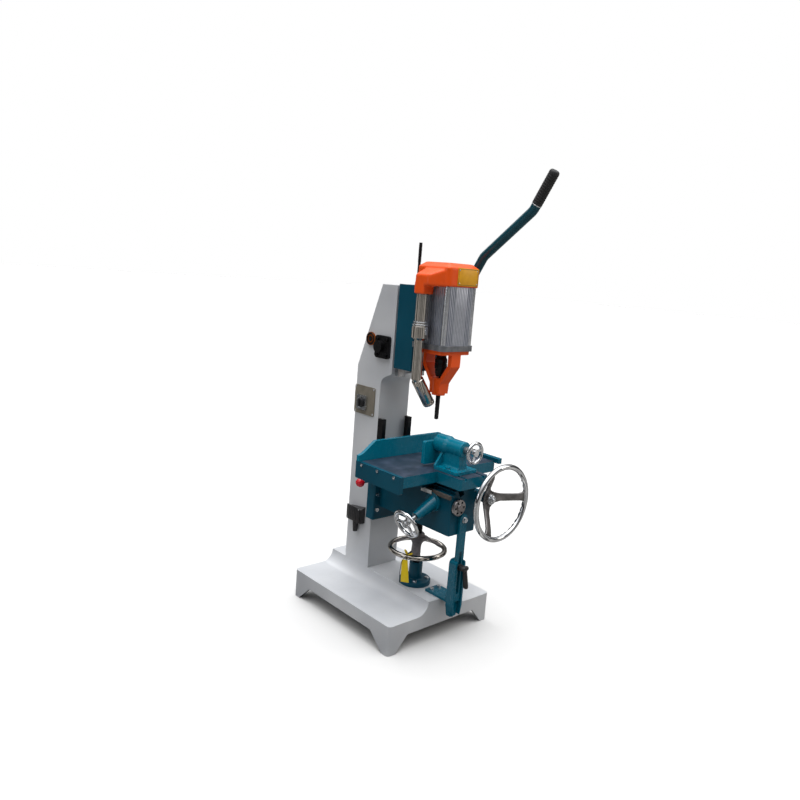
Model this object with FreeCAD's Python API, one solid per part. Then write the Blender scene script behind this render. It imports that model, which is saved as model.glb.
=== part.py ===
import FreeCAD, Part
import math
import os

# Pedestal hollow-chisel mortiser. Millimetres, +Z up, -Y towards the operator.
# Everything is drawn about the base's centre on the floor, and moved along Y at the end so that
# the origin is under the middle of the whole machine.

# ---- fits and gaps
RUN = 0.05            # radial clearance of a shaft in its bearing
SLIP = 0.3            # clearance between faces that slide past each other
SEAT = 0.05           # radial clearance of a fixed spigot

# ---- base casting
BASE_WIDTH = 450.0
BASE_DEPTH = 509.0
BASE_TOP = 97.0
SKIRT_BOTTOM = 53.0
BASE_WALL = 9.0
BASE_CORNER = 12.0
PLATEAU_HALF = 65.0
PLATEAU_TOP = 139.0
FOOT_TIP = 30.0
FOOT_RUN_FRONT = 78.0
FOOT_RUN_SIDE = 88.0
FOOT_ROUND = 14.0

# ---- column casting
COLUMN_HALF = 65.0
COLUMN_FRONT = 53.0
COLUMN_BACK = 184.0
COLUMN_WALL = 9.0
COLUMN_EDGE = 9.0
HEAD_FRONT = 2.0
HEAD_LOW = 825.0
THROAT_RISE = 24.0
THROAT_ROUND = 31.0
COLUMN_BEND = 831.0
COLUMN_TOP = 1110.0
COLUMN_TOP_BACK = 82.0

# ---- guide rails for the knee
RAIL_FRONT = 28.0
RAIL_LIP = 14.0
RAIL_WIDTH = 15.0
RAIL_NECK = 9.0
RAIL_LOW = 326.0
RAIL_HIGH = 668.0

# ---- head ways and head slide
WAY_DEPTH = 24.0
WAY_ROOT = 50.0
WAY_FRONT = 58.0
WAY_INNER = 28.0
WAY_LOW = 820.0
HEAD_SLIDE_HALF = 68.0
HEAD_SLIDE_BACK = -7.0
HEAD_SLIDE_FRONT = -90.0
HEAD_SLIDE_LOW = 848.0
HEAD_SLIDE_HIGH = 1116.0
HEAD_SLIDE_WALL = 9.0
HEAD_STROKE = 80.0
RIB_HALF = 12.0

# ---- quill feed: pinion, rack and lever
FEED_MODULE = 4.0
FEED_TEETH = 30
FEED_Y = 57.0
FEED_Z = 908.0
FEED_FACE = 16.0
FEED_SHAFT_R = 14.0
RACK_HALF = 9.0
RACK_BACKING = 10.0
FLANGE_DEPTH = 69.0
FLANGE_HEIGHT = 74.0
FLANGE_THICK = 10.0
FLANGE_BOSS = 9.0
FLANGE_AHEAD = 8.0      # how far the flange sits in front of its shaft
LEVER_X = 100.0
LEVER_R = 14.5
LEVER_PATH = [(57.0, 908.0), (-158.0, 1147.0), (-201.0, 1218.0), (-374.0, 1355.0), (-438.0, 1465.0)]
LEVER_BEND = 48.0
LEVER_HUB_R = 23.0
GRIP_R = 15.5
GRIP_LENGTH = 105.0

# ---- spindle, motor and chisel
SPINDLE_Y = -153.5
MOTOR_HALF = 63.2
MOTOR_LOW = 944.0
MOTOR_HIGH = 1121.0
MOTOR_CORNER = 9.0
MOTOR_BORE_R = 50.0
MOTOR_LID = 10.0
FIN_PITCH = 7.0
FIN_GAP = 3.2
FIN_DEPTH = 3.2
MOTOR_FLAT_HALF = 27.0
PLATE_HALF = 70.0
PLATE_LOW = 927.0
PLATE_ROUND = 18.0
CAP_LOW_HALF = 66.0
CAP_HIGH_HALF = 71.0
CAP_TOP_HALF = 58.0
CAP_SHOULDER = 1172.0
CAP_TOP = 1192.0
CAP_WALL = 4.0
CAP_ROUND = 17.0
VOLUTE_LEFT = -110.0
VOLUTE_TOP = 1148.0
VOLUTE_BOTTOM = 1119.0
SPOUT_FRONT = -163.0
SPOUT_BACK = -121.0
SPOUT_BOTTOM = 1093.0
SHAFT_R = 10.0
ROTOR_R = 42.0
FAN_BLADES = 9
FAN_R = 52.0
CHUCK_R = 19.5
CHUCK_LOW = 840.0
CHUCK_HIGH = 914.0
AUGER_R = 3.0
AUGER_LOW = 701.0
YOKE_TOP = 927.0
YOKE_FLANGE = 12.0
YOKE_HALF = 20.0
YOKE_REACH = 63.2
YOKE_KNEE = 877.0
YOKE_WALL = 15.0
YOKE_WEB_TOP = 836.0
BLOCK_TOP = 820.0
BLOCK_LOW = 782.0
BLOCK_TOP_R = 23.0
BLOCK_LOW_R = 21.0
CHISEL_SHANK_R = 9.5
CHISEL_SIZE = 12.7
CHISEL_TIP_SIZE = 9.0
CHISEL_BORE_R = 3.4
CHISEL_LOW = 703.0

# ---- chip duct
DUCT_X = -90.0
DUCT_Y = -142.0
DUCT_R = 16.0
DUCT_TOP_R = 19.5
DUCT_WALL = 1.6
DUCT_JOINT_LOW = 954.0
DUCT_JOINT_HIGH = 1005.0
DUCT_JOINT_R = 26.0
DUCT_KNEE = 838.0
DUCT_LEAN = 36.5      # degrees off the vertical
DUCT_NOZZLE = 106.0

# ---- depth rod
DEPTH_ROD_X = -20.0
DEPTH_ROD_Y = -40.0
DEPTH_ROD_R = 3.25
DEPTH_ROD_HEAD_R = 5.0
DEPTH_ROD_RISE = 132.0      # how far the rod stands above the head slide
DEPTH_ROD_HEAD = 40.0

# ---- knee
KNEE_HALF = 58.5
KNEE_FRONT = -305.0
KNEE_LOW = 371.0
KNEE_TOP = 500.0
KNEE_WALL = 9.0
KNEE_BLOCK_HALF = 85.0
KNEE_BLOCK_FRONT = 21.0
KNEE_BLOCK_BACK = 60.0
KNEE_WAY_ROOT = 40.0
KNEE_WAY_TOP = 47.0
KNEE_WAY_HEIGHT = 12.0
STRIP_LOW = 488.0
STRIP_THICK = 7.5
STRIP_REAR = -181.0
KNEE_UP = 80.0
KNEE_DOWN = 40.0

# ---- hand wheels: spoke width and thickness
WHEEL_SPOKES = 3
LIFT_SPOKE = (26.0, 10.0)
BIG_SPOKE = (21.0, 11.0)
CROSS_SPOKE = (12.0, 7.0)
CLAMP_SPOKE = (9.0, 6.0)

# ---- elevating screw and hand wheel
SCREW_Y = -118.0
SCREW_R = 12.0
SCREW_BOTTOM = 50.0
SCREW_JOURNAL = 26.0
PEDESTAL_TOP = 210.0
PEDESTAL_R = 22.0
PEDESTAL_FLANGE_R = 52.0
PEDESTAL_FLANGE = 15.0
LIFT_WHEEL_R = 99.0
LIFT_WHEEL_Z = 258.0
LIFT_RIM_R = 8.5
LIFT_HUB_LOW = 285.0
LIFT_HUB_HIGH = 312.0
LIFT_HUB_R = 21.0
LIFT_SPOKE_TURN = -19.3

# ---- brace between the knee and the base
BRACE_X = -5.0
BRACE_WIDTH = 30.0
BRACE_THICK = 10.0
BRACE_LOW = 150.0
BRACE_HIGH = 436.0
BRACE_BOLT_Z = 418.0
STUD_Z = 265.0
STUD_R = 5.0
SLOT_PLAY = 0.5
CHANNEL_WALL = 6.5
CHANNEL_WEB = 14.7
CHANNEL_LOW = 95.0
CHANNEL_HIGH = 288.0
BRACKET_THICK = 8.0
BRACKET_BACK = -190.0
BRACKET_LEFT = -20.0
BRACKET_RIGHT = 40.0

# ---- cross slide on the knee, with its rack, pinion and small wheel
CROSS_HALF = 84.0
CROSS_FRONT = -200.0
CROSS_BACK = -40.0
CROSS_THICK = 20.0
CROSS_WAY_FRONT = -170.0
CROSS_WAY_BACK = -90.0
WAY_FLARE = 7.0
CROSS_OUT = 90.0
CROSS_IN = 20.0
CROSS_MODULE = 1.5
CROSS_TEETH = 16
CROSS_TILT = 25.0     # degrees, slope of the small wheel's shaft
CROSS_Y = -233.0
CROSS_SHAFT_Z = 462.0     # height where the shaft leaves the knee's left face
CROSS_PINION_X = -8.0
CROSS_FACE = 14.0
CROSS_SHAFT_R = 8.0
CROSS_HOUSING_R = 22.0
CROSS_HOUSING_END_R = 14.0
CROSS_HOUSING_FLANGE_R = 30.0
CROSS_HOUSING_LENGTH = 84.0
CROSS_WHEEL_R = 50.0
CROSS_WHEEL_AT = 123.0
CROSS_RIM_R = 6.0
KNOB_X = -34.0
KNOB_Z = 463.0
KNOB_R = 26.0

# ---- table
TABLE_HALF = 210.0
TABLE_BACK = -24.0
TABLE_FRONT = -237.0
TABLE_TOP = 560.0
TABLE_PLATE = 14.0
TABLE_BAND = 35.0
TABLE_WALL = 12.0
WING_HALF = 60.0
WING_FRONT = -338.0
TABLE_TRAVEL = 100.0
T_SLOT_X = 38.0
T_SLOT_WIDTH = 8.0
T_SLOT_DEPTH = 7.0
FENCE_FACE = -38.0
FENCE_THICK = 12.0
FENCE_TOP = 620.0
FENCE_SHOULDER = 583.0
FENCE_TOP_HALF = 145.0
APRON_THICK = 12.0
APRON_LOW = 506.0
APRON_CHAMFER = 3.0
LIP_INSET = 5.0
LIP_WIDTH = 20.0
LIP_FRONT = -257.0
LIP_BACK = -60.0
LIP_LOW = 555.0
LIP_HIGH = 571.0

# ---- table traverse: hand wheel, pinion, idler and rack
TRAVERSE_MODULE = 2.0
PINION_TEETH = 14
IDLER_TEETH = 20
TRAVERSE_X = 78.0
TRAVERSE_Z = 480.0
IDLER_RISE = 20.0
GEAR_FRONT = -221.0
GEAR_BACK = -203.0
CASE_PLATE = 10.0
CASE_GAP = 5.0
TRAVERSE_SHAFT_R = 8.0
IDLER_PIN_R = 6.0
BEARING_R = 17.0
BEARING_FRONT = -325.0
BIG_WHEEL_R = 123.5
BIG_RIM_R = 8.5
BIG_WHEEL_Y = -388.0
BIG_HUB_FRONT = -345.0
BIG_HUB_BACK = -327.0
BIG_HUB_R = 17.5
BIG_SPOKE_TURN = 3.0

# ---- work clamp
CLAMP_Z = 633.0
JAW_FACE = -162.0
JAW_THICK = 14.0
JAW_HALF = 60.0
JAW_LOW = 567.0
JAW_HIGH = 640.0
CLAMP_BODY_R = 25.0
CLAMP_REAR_R = 29.0
CLAMP_REAR = 55.0
CLAMP_FOOT = 10.0
CLAMP_FOOT_HALF = 47.0
CLAMP_WEB_HALF = 16.0
CLAMP_BODY_FRONT = -290.0
CLAMP_RAM_R = 17.0
CLAMP_SCREW_R = 7.0
CLAMP_WHEEL_Y = -329.0
CLAMP_WHEEL_R = 36.0
CLAMP_TRAVEL = 60.0

# ---- small parts on the column and knee
SWITCH_BACK = 180.0
SWITCH_FRONT = 75.0
SWITCH_LOW = 668.0
SWITCH_HIGH = 765.0
SWITCH_PLATE = 3.0
SWITCH_KNOB_Y = 137.0
SWITCH_KNOB_Z = 708.0
INLET_FRONT = 85.0
INLET_BACK = 160.0
INLET_LOW = 290.0
INLET_HIGH = 348.0
INLET_DEPTH = 22.0
GLAND_Y = 121.0
GLAND_R = 10.5
BRONZE_Y = 114.5
BRONZE_Z = 928.0
BRONZE_R = 22.0
BRONZE_THICK = 6.0
BALL_X = -138.0
BALL_Y = 35.0
BALL_Z = 461.0
BALL_R = 15.0
PLUNGER_R = 5.0


# ==== drawing helpers

def vec(x, y, z):
    return FreeCAD.Vector(x, y, z)


def block(x0, x1, y0, y1, z0, z1):
    """Box between two corners."""
    return Part.makeBox(x1 - x0, y1 - y0, z1 - z0, vec(x0, y0, z0))


def rod(start, direction, radius, length):
    return Part.makeCylinder(radius, length, vec(*start), vec(*direction))


def cone(start, direction, first, last, length):
    return Part.makeCone(first, last, length, vec(*start), vec(*direction))


def joined(shapes):
    """One solid from pieces that touch or overlap."""
    whole = shapes[0]
    if len(shapes) > 1:
        whole = whole.multiFuse(shapes[1:])
    return whole.removeSplitter()


def group(shapes):
    """Separate solids kept together as one node."""
    return Part.makeCompound(shapes)


def turned(shape, centre, direction, degrees):
    copy = shape.copy()
    copy.rotate(vec(*centre), vec(*direction), degrees)
    return copy


def corner_arcs(points, closed):
    """Straight runs between (u, v, radius) points, with an arc of that radius at each point."""
    count = len(points)
    starts = []
    for i, (u, v, radius) in enumerate(points):
        here = vec(u, v, 0)
        is_end = not closed and i in (0, count - 1)
        if radius <= 0 or is_end:
            starts.append((here, None, here))
            continue
        before = vec(points[i - 1][0], points[i - 1][1], 0) - here
        after = vec(points[(i + 1) % count][0], points[(i + 1) % count][1], 0) - here
        before.normalize()
        after.normalize()
        half = before.getAngle(after) / 2
        reach = radius / math.tan(half)
        inward = before + after
        inward.normalize()
        centre = here + inward * (radius / math.sin(half))
        starts.append((here + before * reach, centre - inward * radius, here + after * reach))
    edges = []
    for i, (first, middle, last) in enumerate(starts):
        if middle is not None:
            edges.append(Part.Arc(first, middle, last).toShape())
        if not closed and i == count - 1:
            break
        following = starts[(i + 1) % count][0]
        if (following - last).Length > 1e-6:
            edges.append(Part.LineSegment(last, following).toShape())
    return Part.Wire(edges)


# Placements that stand a flat (u, v) drawing up, across the named axis.
STAND = {
    "X": FreeCAD.Placement(FreeCAD.Matrix(0, 0, 1, 0, 1, 0, 0, 0, 0, 1, 0, 0, 0, 0, 0, 1)),
    "Y": FreeCAD.Placement(FreeCAD.Matrix(1, 0, 0, 0, 0, 0, -1, 0, 0, 1, 0, 0, 0, 0, 0, 1)),
    "Z": FreeCAD.Placement(),
}
ALONG = {"X": vec(1, 0, 0), "Y": vec(0, 1, 0), "Z": vec(0, 0, 1)}


def with_radius(points, radius):
    return [p if len(p) == 3 else (p[0], p[1], radius) for p in points]


def prism(axis, points, low, high, radius=0.0):
    """Outline drawn across an axis, as (y, z), (x, z) or (x, y), and extruded along that axis."""
    wire = corner_arcs(with_radius(points, radius), True)
    wire.Placement = STAND[axis]
    face = Part.Face(wire)
    face.translate(ALONG[axis] * low)
    return face.extrude(ALONG[axis] * (high - low))


def rectangle(u0, u1, v0, v1):
    return [(u0, v0), (u1, v0), (u1, v1), (u0, v1)]


def loft(sections):
    """Ruled solid through flat sections, each (z, half width, half depth, corner radius, x, y)."""
    wires = []
    for z, half_x, half_y, radius, x, y in sections:
        outline = rectangle(x - half_x, x + half_x, y - half_y, y + half_y)
        wire = corner_arcs(with_radius(outline, radius), True)
        wire.translate(vec(0, 0, z))
        wires.append(wire)
    return Part.makeLoft(wires, True, True)


def turned_profile(points, radius=0.0):
    """Solid of revolution about Z from (r, z) points."""
    wire = corner_arcs(with_radius(points, radius), True)
    wire.Placement = STAND["Y"]
    return Part.Face(wire).revolve(vec(0, 0, 0), vec(0, 0, 1), 360)


def aim(shape, place, direction):
    """Moves a shape drawn about Z at the origin to a place, with Z along a direction."""
    copy = shape.copy()
    copy.Placement = FreeCAD.Placement(vec(*place), FreeCAD.Rotation(vec(0, 0, 1), vec(*direction)))
    return copy


def cylinder_head(place, direction, radius, height, socket):
    """Cap screw or bolt head with a hexagon socket in its top."""
    head = rod((0, 0, 0), (0, 0, 1), radius, height)
    recess = hexagon(socket, height * 0.5, height)
    return aim(head.cut(recess), place, direction)


def hexagon(radius, low, high):
    corners = [(radius * math.cos(math.radians(a)), radius * math.sin(math.radians(a)))
               for a in range(0, 360, 60)]
    return prism("Z", corners, low, high)


def hex_bolt(place, direction, radius, height):
    return aim(hexagon(radius, 0, height), place, direction)


# ==== gears: involute teeth of stub height

PRESSURE = math.radians(20)
ADDENDUM = 0.8
DEDENDUM = 1.05
BACKLASH = 0.22


def involute(angle):
    return math.tan(angle) - angle


def gear(module, teeth, width, bore):
    """Spur gear about Z from z = 0 to width, with the centre of one tooth on +X."""
    pitch_r = module * teeth / 2
    base_r = pitch_r * math.cos(PRESSURE)
    tip_r = pitch_r + ADDENDUM * module
    root_r = pitch_r - DEDENDUM * module
    half_at_pitch = math.pi / (2 * teeth) - BACKLASH / (2 * pitch_r)
    low_r = max(base_r, root_r)
    steps = 3
    flank = []
    for i in range(steps + 1):
        r = low_r + (tip_r - low_r) * i / steps
        lean = involute(math.acos(min(1.0, base_r / r)))
        flank.append((r, half_at_pitch + involute(PRESSURE) - lean))
    if root_r < low_r:
        flank.insert(0, (root_r, flank[0][1]))
    corners = []
    for tooth in range(teeth):
        centre = 2 * math.pi * tooth / teeth
        for r, half in flank:
            corners.append((r * math.cos(centre - half), r * math.sin(centre - half)))
        for r, half in reversed(flank):
            corners.append((r * math.cos(centre + half), r * math.sin(centre + half)))
    wheel = prism("Z", corners, 0, width)
    if bore > 0:
        wheel = wheel.cut(rod((0, 0, -1), (0, 0, 1), bore, width + 2))
    return wheel


def rack(module, low, high, gap_at, half_width, backing):
    """Rack along X with its teeth towards +Z, pitch line at z = 0 and a tooth gap at gap_at."""
    pitch = math.pi * module
    tip = ADDENDUM * module
    root = DEDENDUM * module
    half = pitch / 4 - BACKLASH / 2
    slope = math.tan(PRESSURE)
    first = math.ceil((low - gap_at) / pitch + 0.3)
    last = math.floor((high - gap_at) / pitch - 0.3)
    outline = [(low, -root - backing), (low, -root)]
    for tooth in range(first, last):
        centre = gap_at + (tooth + 0.5) * pitch
        for side, height in ((-1, -root), (-1, tip), (1, tip), (1, -root)):
            outline.append((centre + side * (half - slope * height), height))
    outline += [(high, -root), (high, -root - backing)]
    return prism("Y", outline, -half_width, half_width)


# ==== hand wheels

def hand_wheel(outer, rim_r, rim_z, hub_r, hub_low, hub_high, bore, turn, spoke):
    """Dished wheel about Z: a round rim at rim_z and three flat spokes that slope to the hub."""
    ring_r = outer - rim_r
    rim = Part.makeTorus(ring_r, rim_r, vec(0, 0, rim_z))
    edge = hub_high - hub_low
    hub = turned_profile([(0, hub_low), (hub_r, hub_low, edge * 0.12), (hub_r, hub_high, edge * 0.2),
                          (0, hub_high)])
    hub_middle = (hub_low + hub_high) / 2
    pieces = [rim, hub]
    width, thick = spoke
    for i in range(WHEEL_SPOKES):
        run = vec(ring_r - hub_r * 0.5, 0, rim_z - hub_middle)
        slope = math.degrees(math.atan2(run.z, run.x))
        bar = prism("X", rectangle(-width / 2, width / 2, -thick / 2, thick / 2), 0, run.Length,
                    thick * 0.45)
        bar.rotate(vec(0, 0, 0), vec(0, 1, 0), -slope)
        bar.translate(vec(hub_r * 0.5, 0, hub_middle))
        bar.rotate(vec(0, 0, 0), vec(0, 0, 1), turn + 360 * i / WHEEL_SPOKES)
        pieces.append(bar)
    wheel = joined(pieces)
    return wheel.cut(rod((0, 0, hub_low - 1), (0, 0, 1), bore, edge + 2))


# ==== fixed frame: base, column and what is bolted to them

def base_casting():
    half_x = BASE_WIDTH / 2
    half_y = BASE_DEPTH / 2
    outer = prism("Z", rectangle(-half_x, half_x, -half_y, half_y), 0, BASE_TOP, BASE_CORNER)
    rise = PLATEAU_TOP - BASE_TOP
    low = BASE_TOP - BASE_WALL
    hump = prism("Y", [(-PLATEAU_HALF - rise, low), (PLATEAU_HALF + rise, low),
                       (PLATEAU_HALF + rise, BASE_TOP), (PLATEAU_HALF, BASE_TOP, rise - 0.01),
                       (PLATEAU_HALF, PLATEAU_TOP), (-PLATEAU_HALF, PLATEAU_TOP),
                       (-PLATEAU_HALF, BASE_TOP, rise - 0.01), (-PLATEAU_HALF - rise, BASE_TOP)],
                 -half_y, half_y)
    body = outer.fuse(hump)
    in_x = half_x - BASE_WALL
    in_y = half_y - BASE_WALL
    hollow = prism("Z", rectangle(-in_x, in_x, -in_y, in_y), -1, low, BASE_CORNER / 2)
    hump_x = PLATEAU_HALF - BASE_WALL
    hump_hollow = block(-hump_x, hump_x, -in_y, in_y, low - 1, PLATEAU_TOP - BASE_WALL)
    arches = []
    for half, run, axis in ((half_x, FOOT_RUN_FRONT, "Y"), (half_y, FOOT_RUN_SIDE, "X")):
        arch = [(-half + FOOT_TIP, -1), (half - FOOT_TIP, -1), (half - FOOT_TIP, 0, FOOT_ROUND / 2),
                (half - run, SKIRT_BOTTOM, FOOT_ROUND), (run - half, SKIRT_BOTTOM, FOOT_ROUND),
                (FOOT_TIP - half, 0, FOOT_ROUND / 2)]
        arches.append(prism(axis, arch, -BASE_DEPTH, BASE_DEPTH))
    screw_hole = rod((0, SCREW_Y, low), (0, 0, 1), SCREW_R + 3, 2 * rise)
    return body.cut(hollow.multiFuse([hump_hollow, screw_hole] + arches))


def column_casting():
    outline = [(COLUMN_FRONT, PLATEAU_TOP), (COLUMN_BACK, PLATEAU_TOP), (COLUMN_BACK, COLUMN_BEND),
               (COLUMN_TOP_BACK, COLUMN_TOP), (HEAD_FRONT, COLUMN_TOP), (HEAD_FRONT, HEAD_LOW)]
    outline.append((COLUMN_FRONT, HEAD_LOW - THROAT_RISE, THROAT_ROUND))
    body = prism("X", outline, -COLUMN_HALF, COLUMN_HALF)
    rounded = [edge for edge in body.Edges
               if abs(edge.CenterOfMass.x) > COLUMN_HALF - 1 and edge.CenterOfMass.y > COLUMN_TOP_BACK]
    rounded = [edge for edge in rounded if edge.BoundBox.ZLength > 10]
    body = body.makeFillet(COLUMN_EDGE, rounded)
    wall = COLUMN_WALL
    lean = wall * (COLUMN_BACK - COLUMN_TOP_BACK) / (COLUMN_TOP - COLUMN_BEND) / 2
    hollow = prism("X", [(COLUMN_FRONT + wall, PLATEAU_TOP - 1), (COLUMN_BACK - wall, PLATEAU_TOP - 1),
                         (COLUMN_BACK - wall, COLUMN_BEND - lean),
                         (COLUMN_TOP_BACK - wall, COLUMN_TOP - wall),
                         (HEAD_FRONT + wall, COLUMN_TOP - wall), (HEAD_FRONT + wall, HEAD_LOW + wall),
                         (COLUMN_FRONT + wall, HEAD_LOW - THROAT_RISE)],
                   wall - COLUMN_HALF, COLUMN_HALF - wall)
    body = body.cut(hollow)
    tip_r = FEED_MODULE * FEED_TEETH / 2 + ADDENDUM * FEED_MODULE
    slot_half = FEED_FACE / 2 + 3
    gear_slot = block(-slot_half, slot_half, HEAD_FRONT - 1, HEAD_FRONT + wall + 1,
                      FEED_Z - tip_r * 0.75, FEED_Z + tip_r * 0.75)
    shaft_hole = rod((-BASE_WIDTH, FEED_Y, FEED_Z), (1, 0, 0), FEED_SHAFT_R + 4, 2 * BASE_WIDTH)
    return body.cut(gear_slot).cut(shaft_hole)


def guide_rails():
    """Two T-section rails on the column, undercut on their inner sides."""
    rails = []
    for side in (-1, 1):
        outer = side * COLUMN_HALF
        neck = side * (COLUMN_HALF - RAIL_NECK)
        inner = side * (COLUMN_HALF - RAIL_WIDTH)
        lip = RAIL_FRONT + RAIL_LIP
        outline = [(outer, COLUMN_FRONT), (outer, RAIL_FRONT), (inner, RAIL_FRONT), (inner, lip),
                   (neck, lip), (neck, COLUMN_FRONT)]
        rails.append(prism("Z", outline, RAIL_LOW, RAIL_HIGH))
    return group(rails)


def head_ways():
    """Steel way plate with a dovetail on each side and an open channel for the rack."""
    front = HEAD_FRONT - WAY_DEPTH
    ways = []
    for side in (-1, 1):
        outline = [(side * WAY_INNER, HEAD_FRONT), (side * WAY_INNER, front), (side * WAY_FRONT, front),
                   (side * WAY_ROOT, HEAD_FRONT)]
        ways.append(prism("Z", outline, WAY_LOW, COLUMN_TOP))
    return group(ways)


def screw_pedestal():
    flange_top = PLATEAU_TOP + PEDESTAL_FLANGE
    profile = [(0, PLATEAU_TOP), (PEDESTAL_FLANGE_R, PLATEAU_TOP), (PEDESTAL_FLANGE_R, flange_top, 3),
               (PEDESTAL_R, flange_top, 5), (PEDESTAL_R, PEDESTAL_TOP, 2), (0, PEDESTAL_TOP)]
    body = turned_profile(profile)
    body.translate(vec(0, SCREW_Y, 0))
    return body.cut(rod((0, SCREW_Y, 0), (0, 0, 1), SCREW_R + RUN, BASE_DEPTH))


def base_bolts():
    bolts = []
    ring = (PEDESTAL_R + PEDESTAL_FLANGE_R) / 2 + 2
    for angle in range(45, 405, 90):
        x = ring * math.cos(math.radians(angle))
        y = SCREW_Y + ring * math.sin(math.radians(angle))
        bolts.append(hex_bolt((x, y, PLATEAU_TOP + PEDESTAL_FLANGE), (0, 0, 1), 7.5, 6))
    for x in (BRACKET_LEFT + 14, BRACKET_RIGHT - 14):
        bolts.append(hex_bolt((x, BRACKET_BACK - 16, PLATEAU_TOP + BRACKET_THICK), (0, 0, 1), 7.5, 6))
    return group(bolts)


def shaft_flange(side):
    """Bearing flange of the pinion shaft: blind on the left, open on the lever's side."""
    inner = side * COLUMN_HALF
    outer = side * (COLUMN_HALF + FLANGE_THICK)
    low, high = min(inner, outer), max(inner, outer)
    half_y, half_z = FLANGE_DEPTH / 2, FLANGE_HEIGHT / 2
    middle = FEED_Y - FLANGE_AHEAD
    body = prism("X", rectangle(middle - half_y, middle + half_y, FEED_Z - half_z, FEED_Z + half_z),
                 low, high, 9)
    body = body.fuse(rod((inner, FEED_Y, FEED_Z), (side, 0, 0), 20, FLANGE_THICK + FLANGE_BOSS))
    body = body.cut(rod((-BASE_WIDTH, FEED_Y, FEED_Z), (1, 0, 0), FEED_SHAFT_R + RUN, 2 * BASE_WIDTH))
    if side < 0:
        cover_at = outer + side * FLANGE_BOSS
        body = body.fuse(rod((cover_at, FEED_Y, FEED_Z), (side, 0, 0), 20, 4))
    pieces = [body.removeSplitter()]
    for y in (middle - half_y + 12, middle + half_y - 12):
        for z in (FEED_Z - half_z + 12, FEED_Z + half_z - 12):
            pieces.append(cylinder_head((outer, y, z), (side, 0, 0), 6.5, 6, 3))
    return group(pieces)


def bronze_cap():
    start = (-COLUMN_HALF, BRONZE_Y, BRONZE_Z)
    disc = rod(start, (-1, 0, 0), BRONZE_R, BRONZE_THICK)
    disc = disc.cut(rod((-COLUMN_HALF - 4, BRONZE_Y, BRONZE_Z), (-1, 0, 0), BRONZE_R - 5, BRONZE_THICK))
    ring = rod((-COLUMN_HALF - 4, BRONZE_Y, BRONZE_Z), (-1, 0, 0), BRONZE_R - 8, 1.5)
    disc = disc.fuse(ring)
    for rise in (-7, 7):
        disc = disc.cut(rod((-COLUMN_HALF - 3, BRONZE_Y, BRONZE_Z + rise), (-1, 0, 0), 3.5, 9))
    return disc.removeSplitter()


def switch_plate():
    outer = -COLUMN_HALF - SWITCH_PLATE
    return prism("X", rectangle(SWITCH_FRONT, SWITCH_BACK, SWITCH_LOW, SWITCH_HIGH),
                 outer, -COLUMN_HALF, 6)


BEZEL_HALF = 25.0
BEZEL_THICK = 7.0


def switch_bezel():
    outer = -COLUMN_HALF - SWITCH_PLATE
    y, z = SWITCH_KNOB_Y, SWITCH_KNOB_Z
    body = prism("X", rectangle(y - BEZEL_HALF, y + BEZEL_HALF, z - BEZEL_HALF, z + BEZEL_HALF),
                 outer - BEZEL_THICK, outer, 5)
    recess = rod((outer - BEZEL_THICK - 1, y, z), (1, 0, 0), BEZEL_HALF - 5, 4)
    return body.cut(recess).cut(rod((outer - BEZEL_THICK - 1, y, z), (1, 0, 0), 4 + RUN, BEZEL_THICK))


def switch_knob():
    outer = -COLUMN_HALF - SWITCH_PLATE - BEZEL_THICK
    y, z = SWITCH_KNOB_Y, SWITCH_KNOB_Z
    skirt = cone((outer + 3 - SLIP, y, z), (-1, 0, 0), 17, 15, 6)
    bar = prism("X", rectangle(y - 4.5, y + 4.5, z - 15, z + 15), outer - 14, outer - 1, 3)
    stem = rod((outer - 2, y, z), (1, 0, 0), 4, BEZEL_THICK + 1)
    return joined([skirt, bar, stem])


def inlet_box():
    outer = -COLUMN_HALF - INLET_DEPTH
    outline = [(outer, INLET_LOW, 4), (-COLUMN_HALF, INLET_LOW), (-COLUMN_HALF, INLET_HIGH),
               (outer, INLET_HIGH - 9, 5)]
    body = prism("Y", outline, INLET_FRONT, INLET_BACK)
    slope = prism("X", [(INLET_FRONT - 1, INLET_HIGH + 20), (INLET_FRONT - 1, INLET_HIGH),
                        (INLET_BACK + 1, INLET_HIGH - 12), (INLET_BACK + 1, INLET_HIGH + 20)],
                  -BASE_WIDTH, BASE_WIDTH)
    body = body.cut(slope)
    gland_x = -COLUMN_HALF - INLET_DEPTH / 2
    nut = aim(hexagon(GLAND_R, 0, 11), (gland_x, GLAND_Y, INLET_LOW), (0, 0, -1))
    dome = cone((gland_x, GLAND_Y, INLET_LOW - 11), (0, 0, -1), GLAND_R - 1, GLAND_R - 2.5, 25)
    return joined([body, nut, dome])


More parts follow.
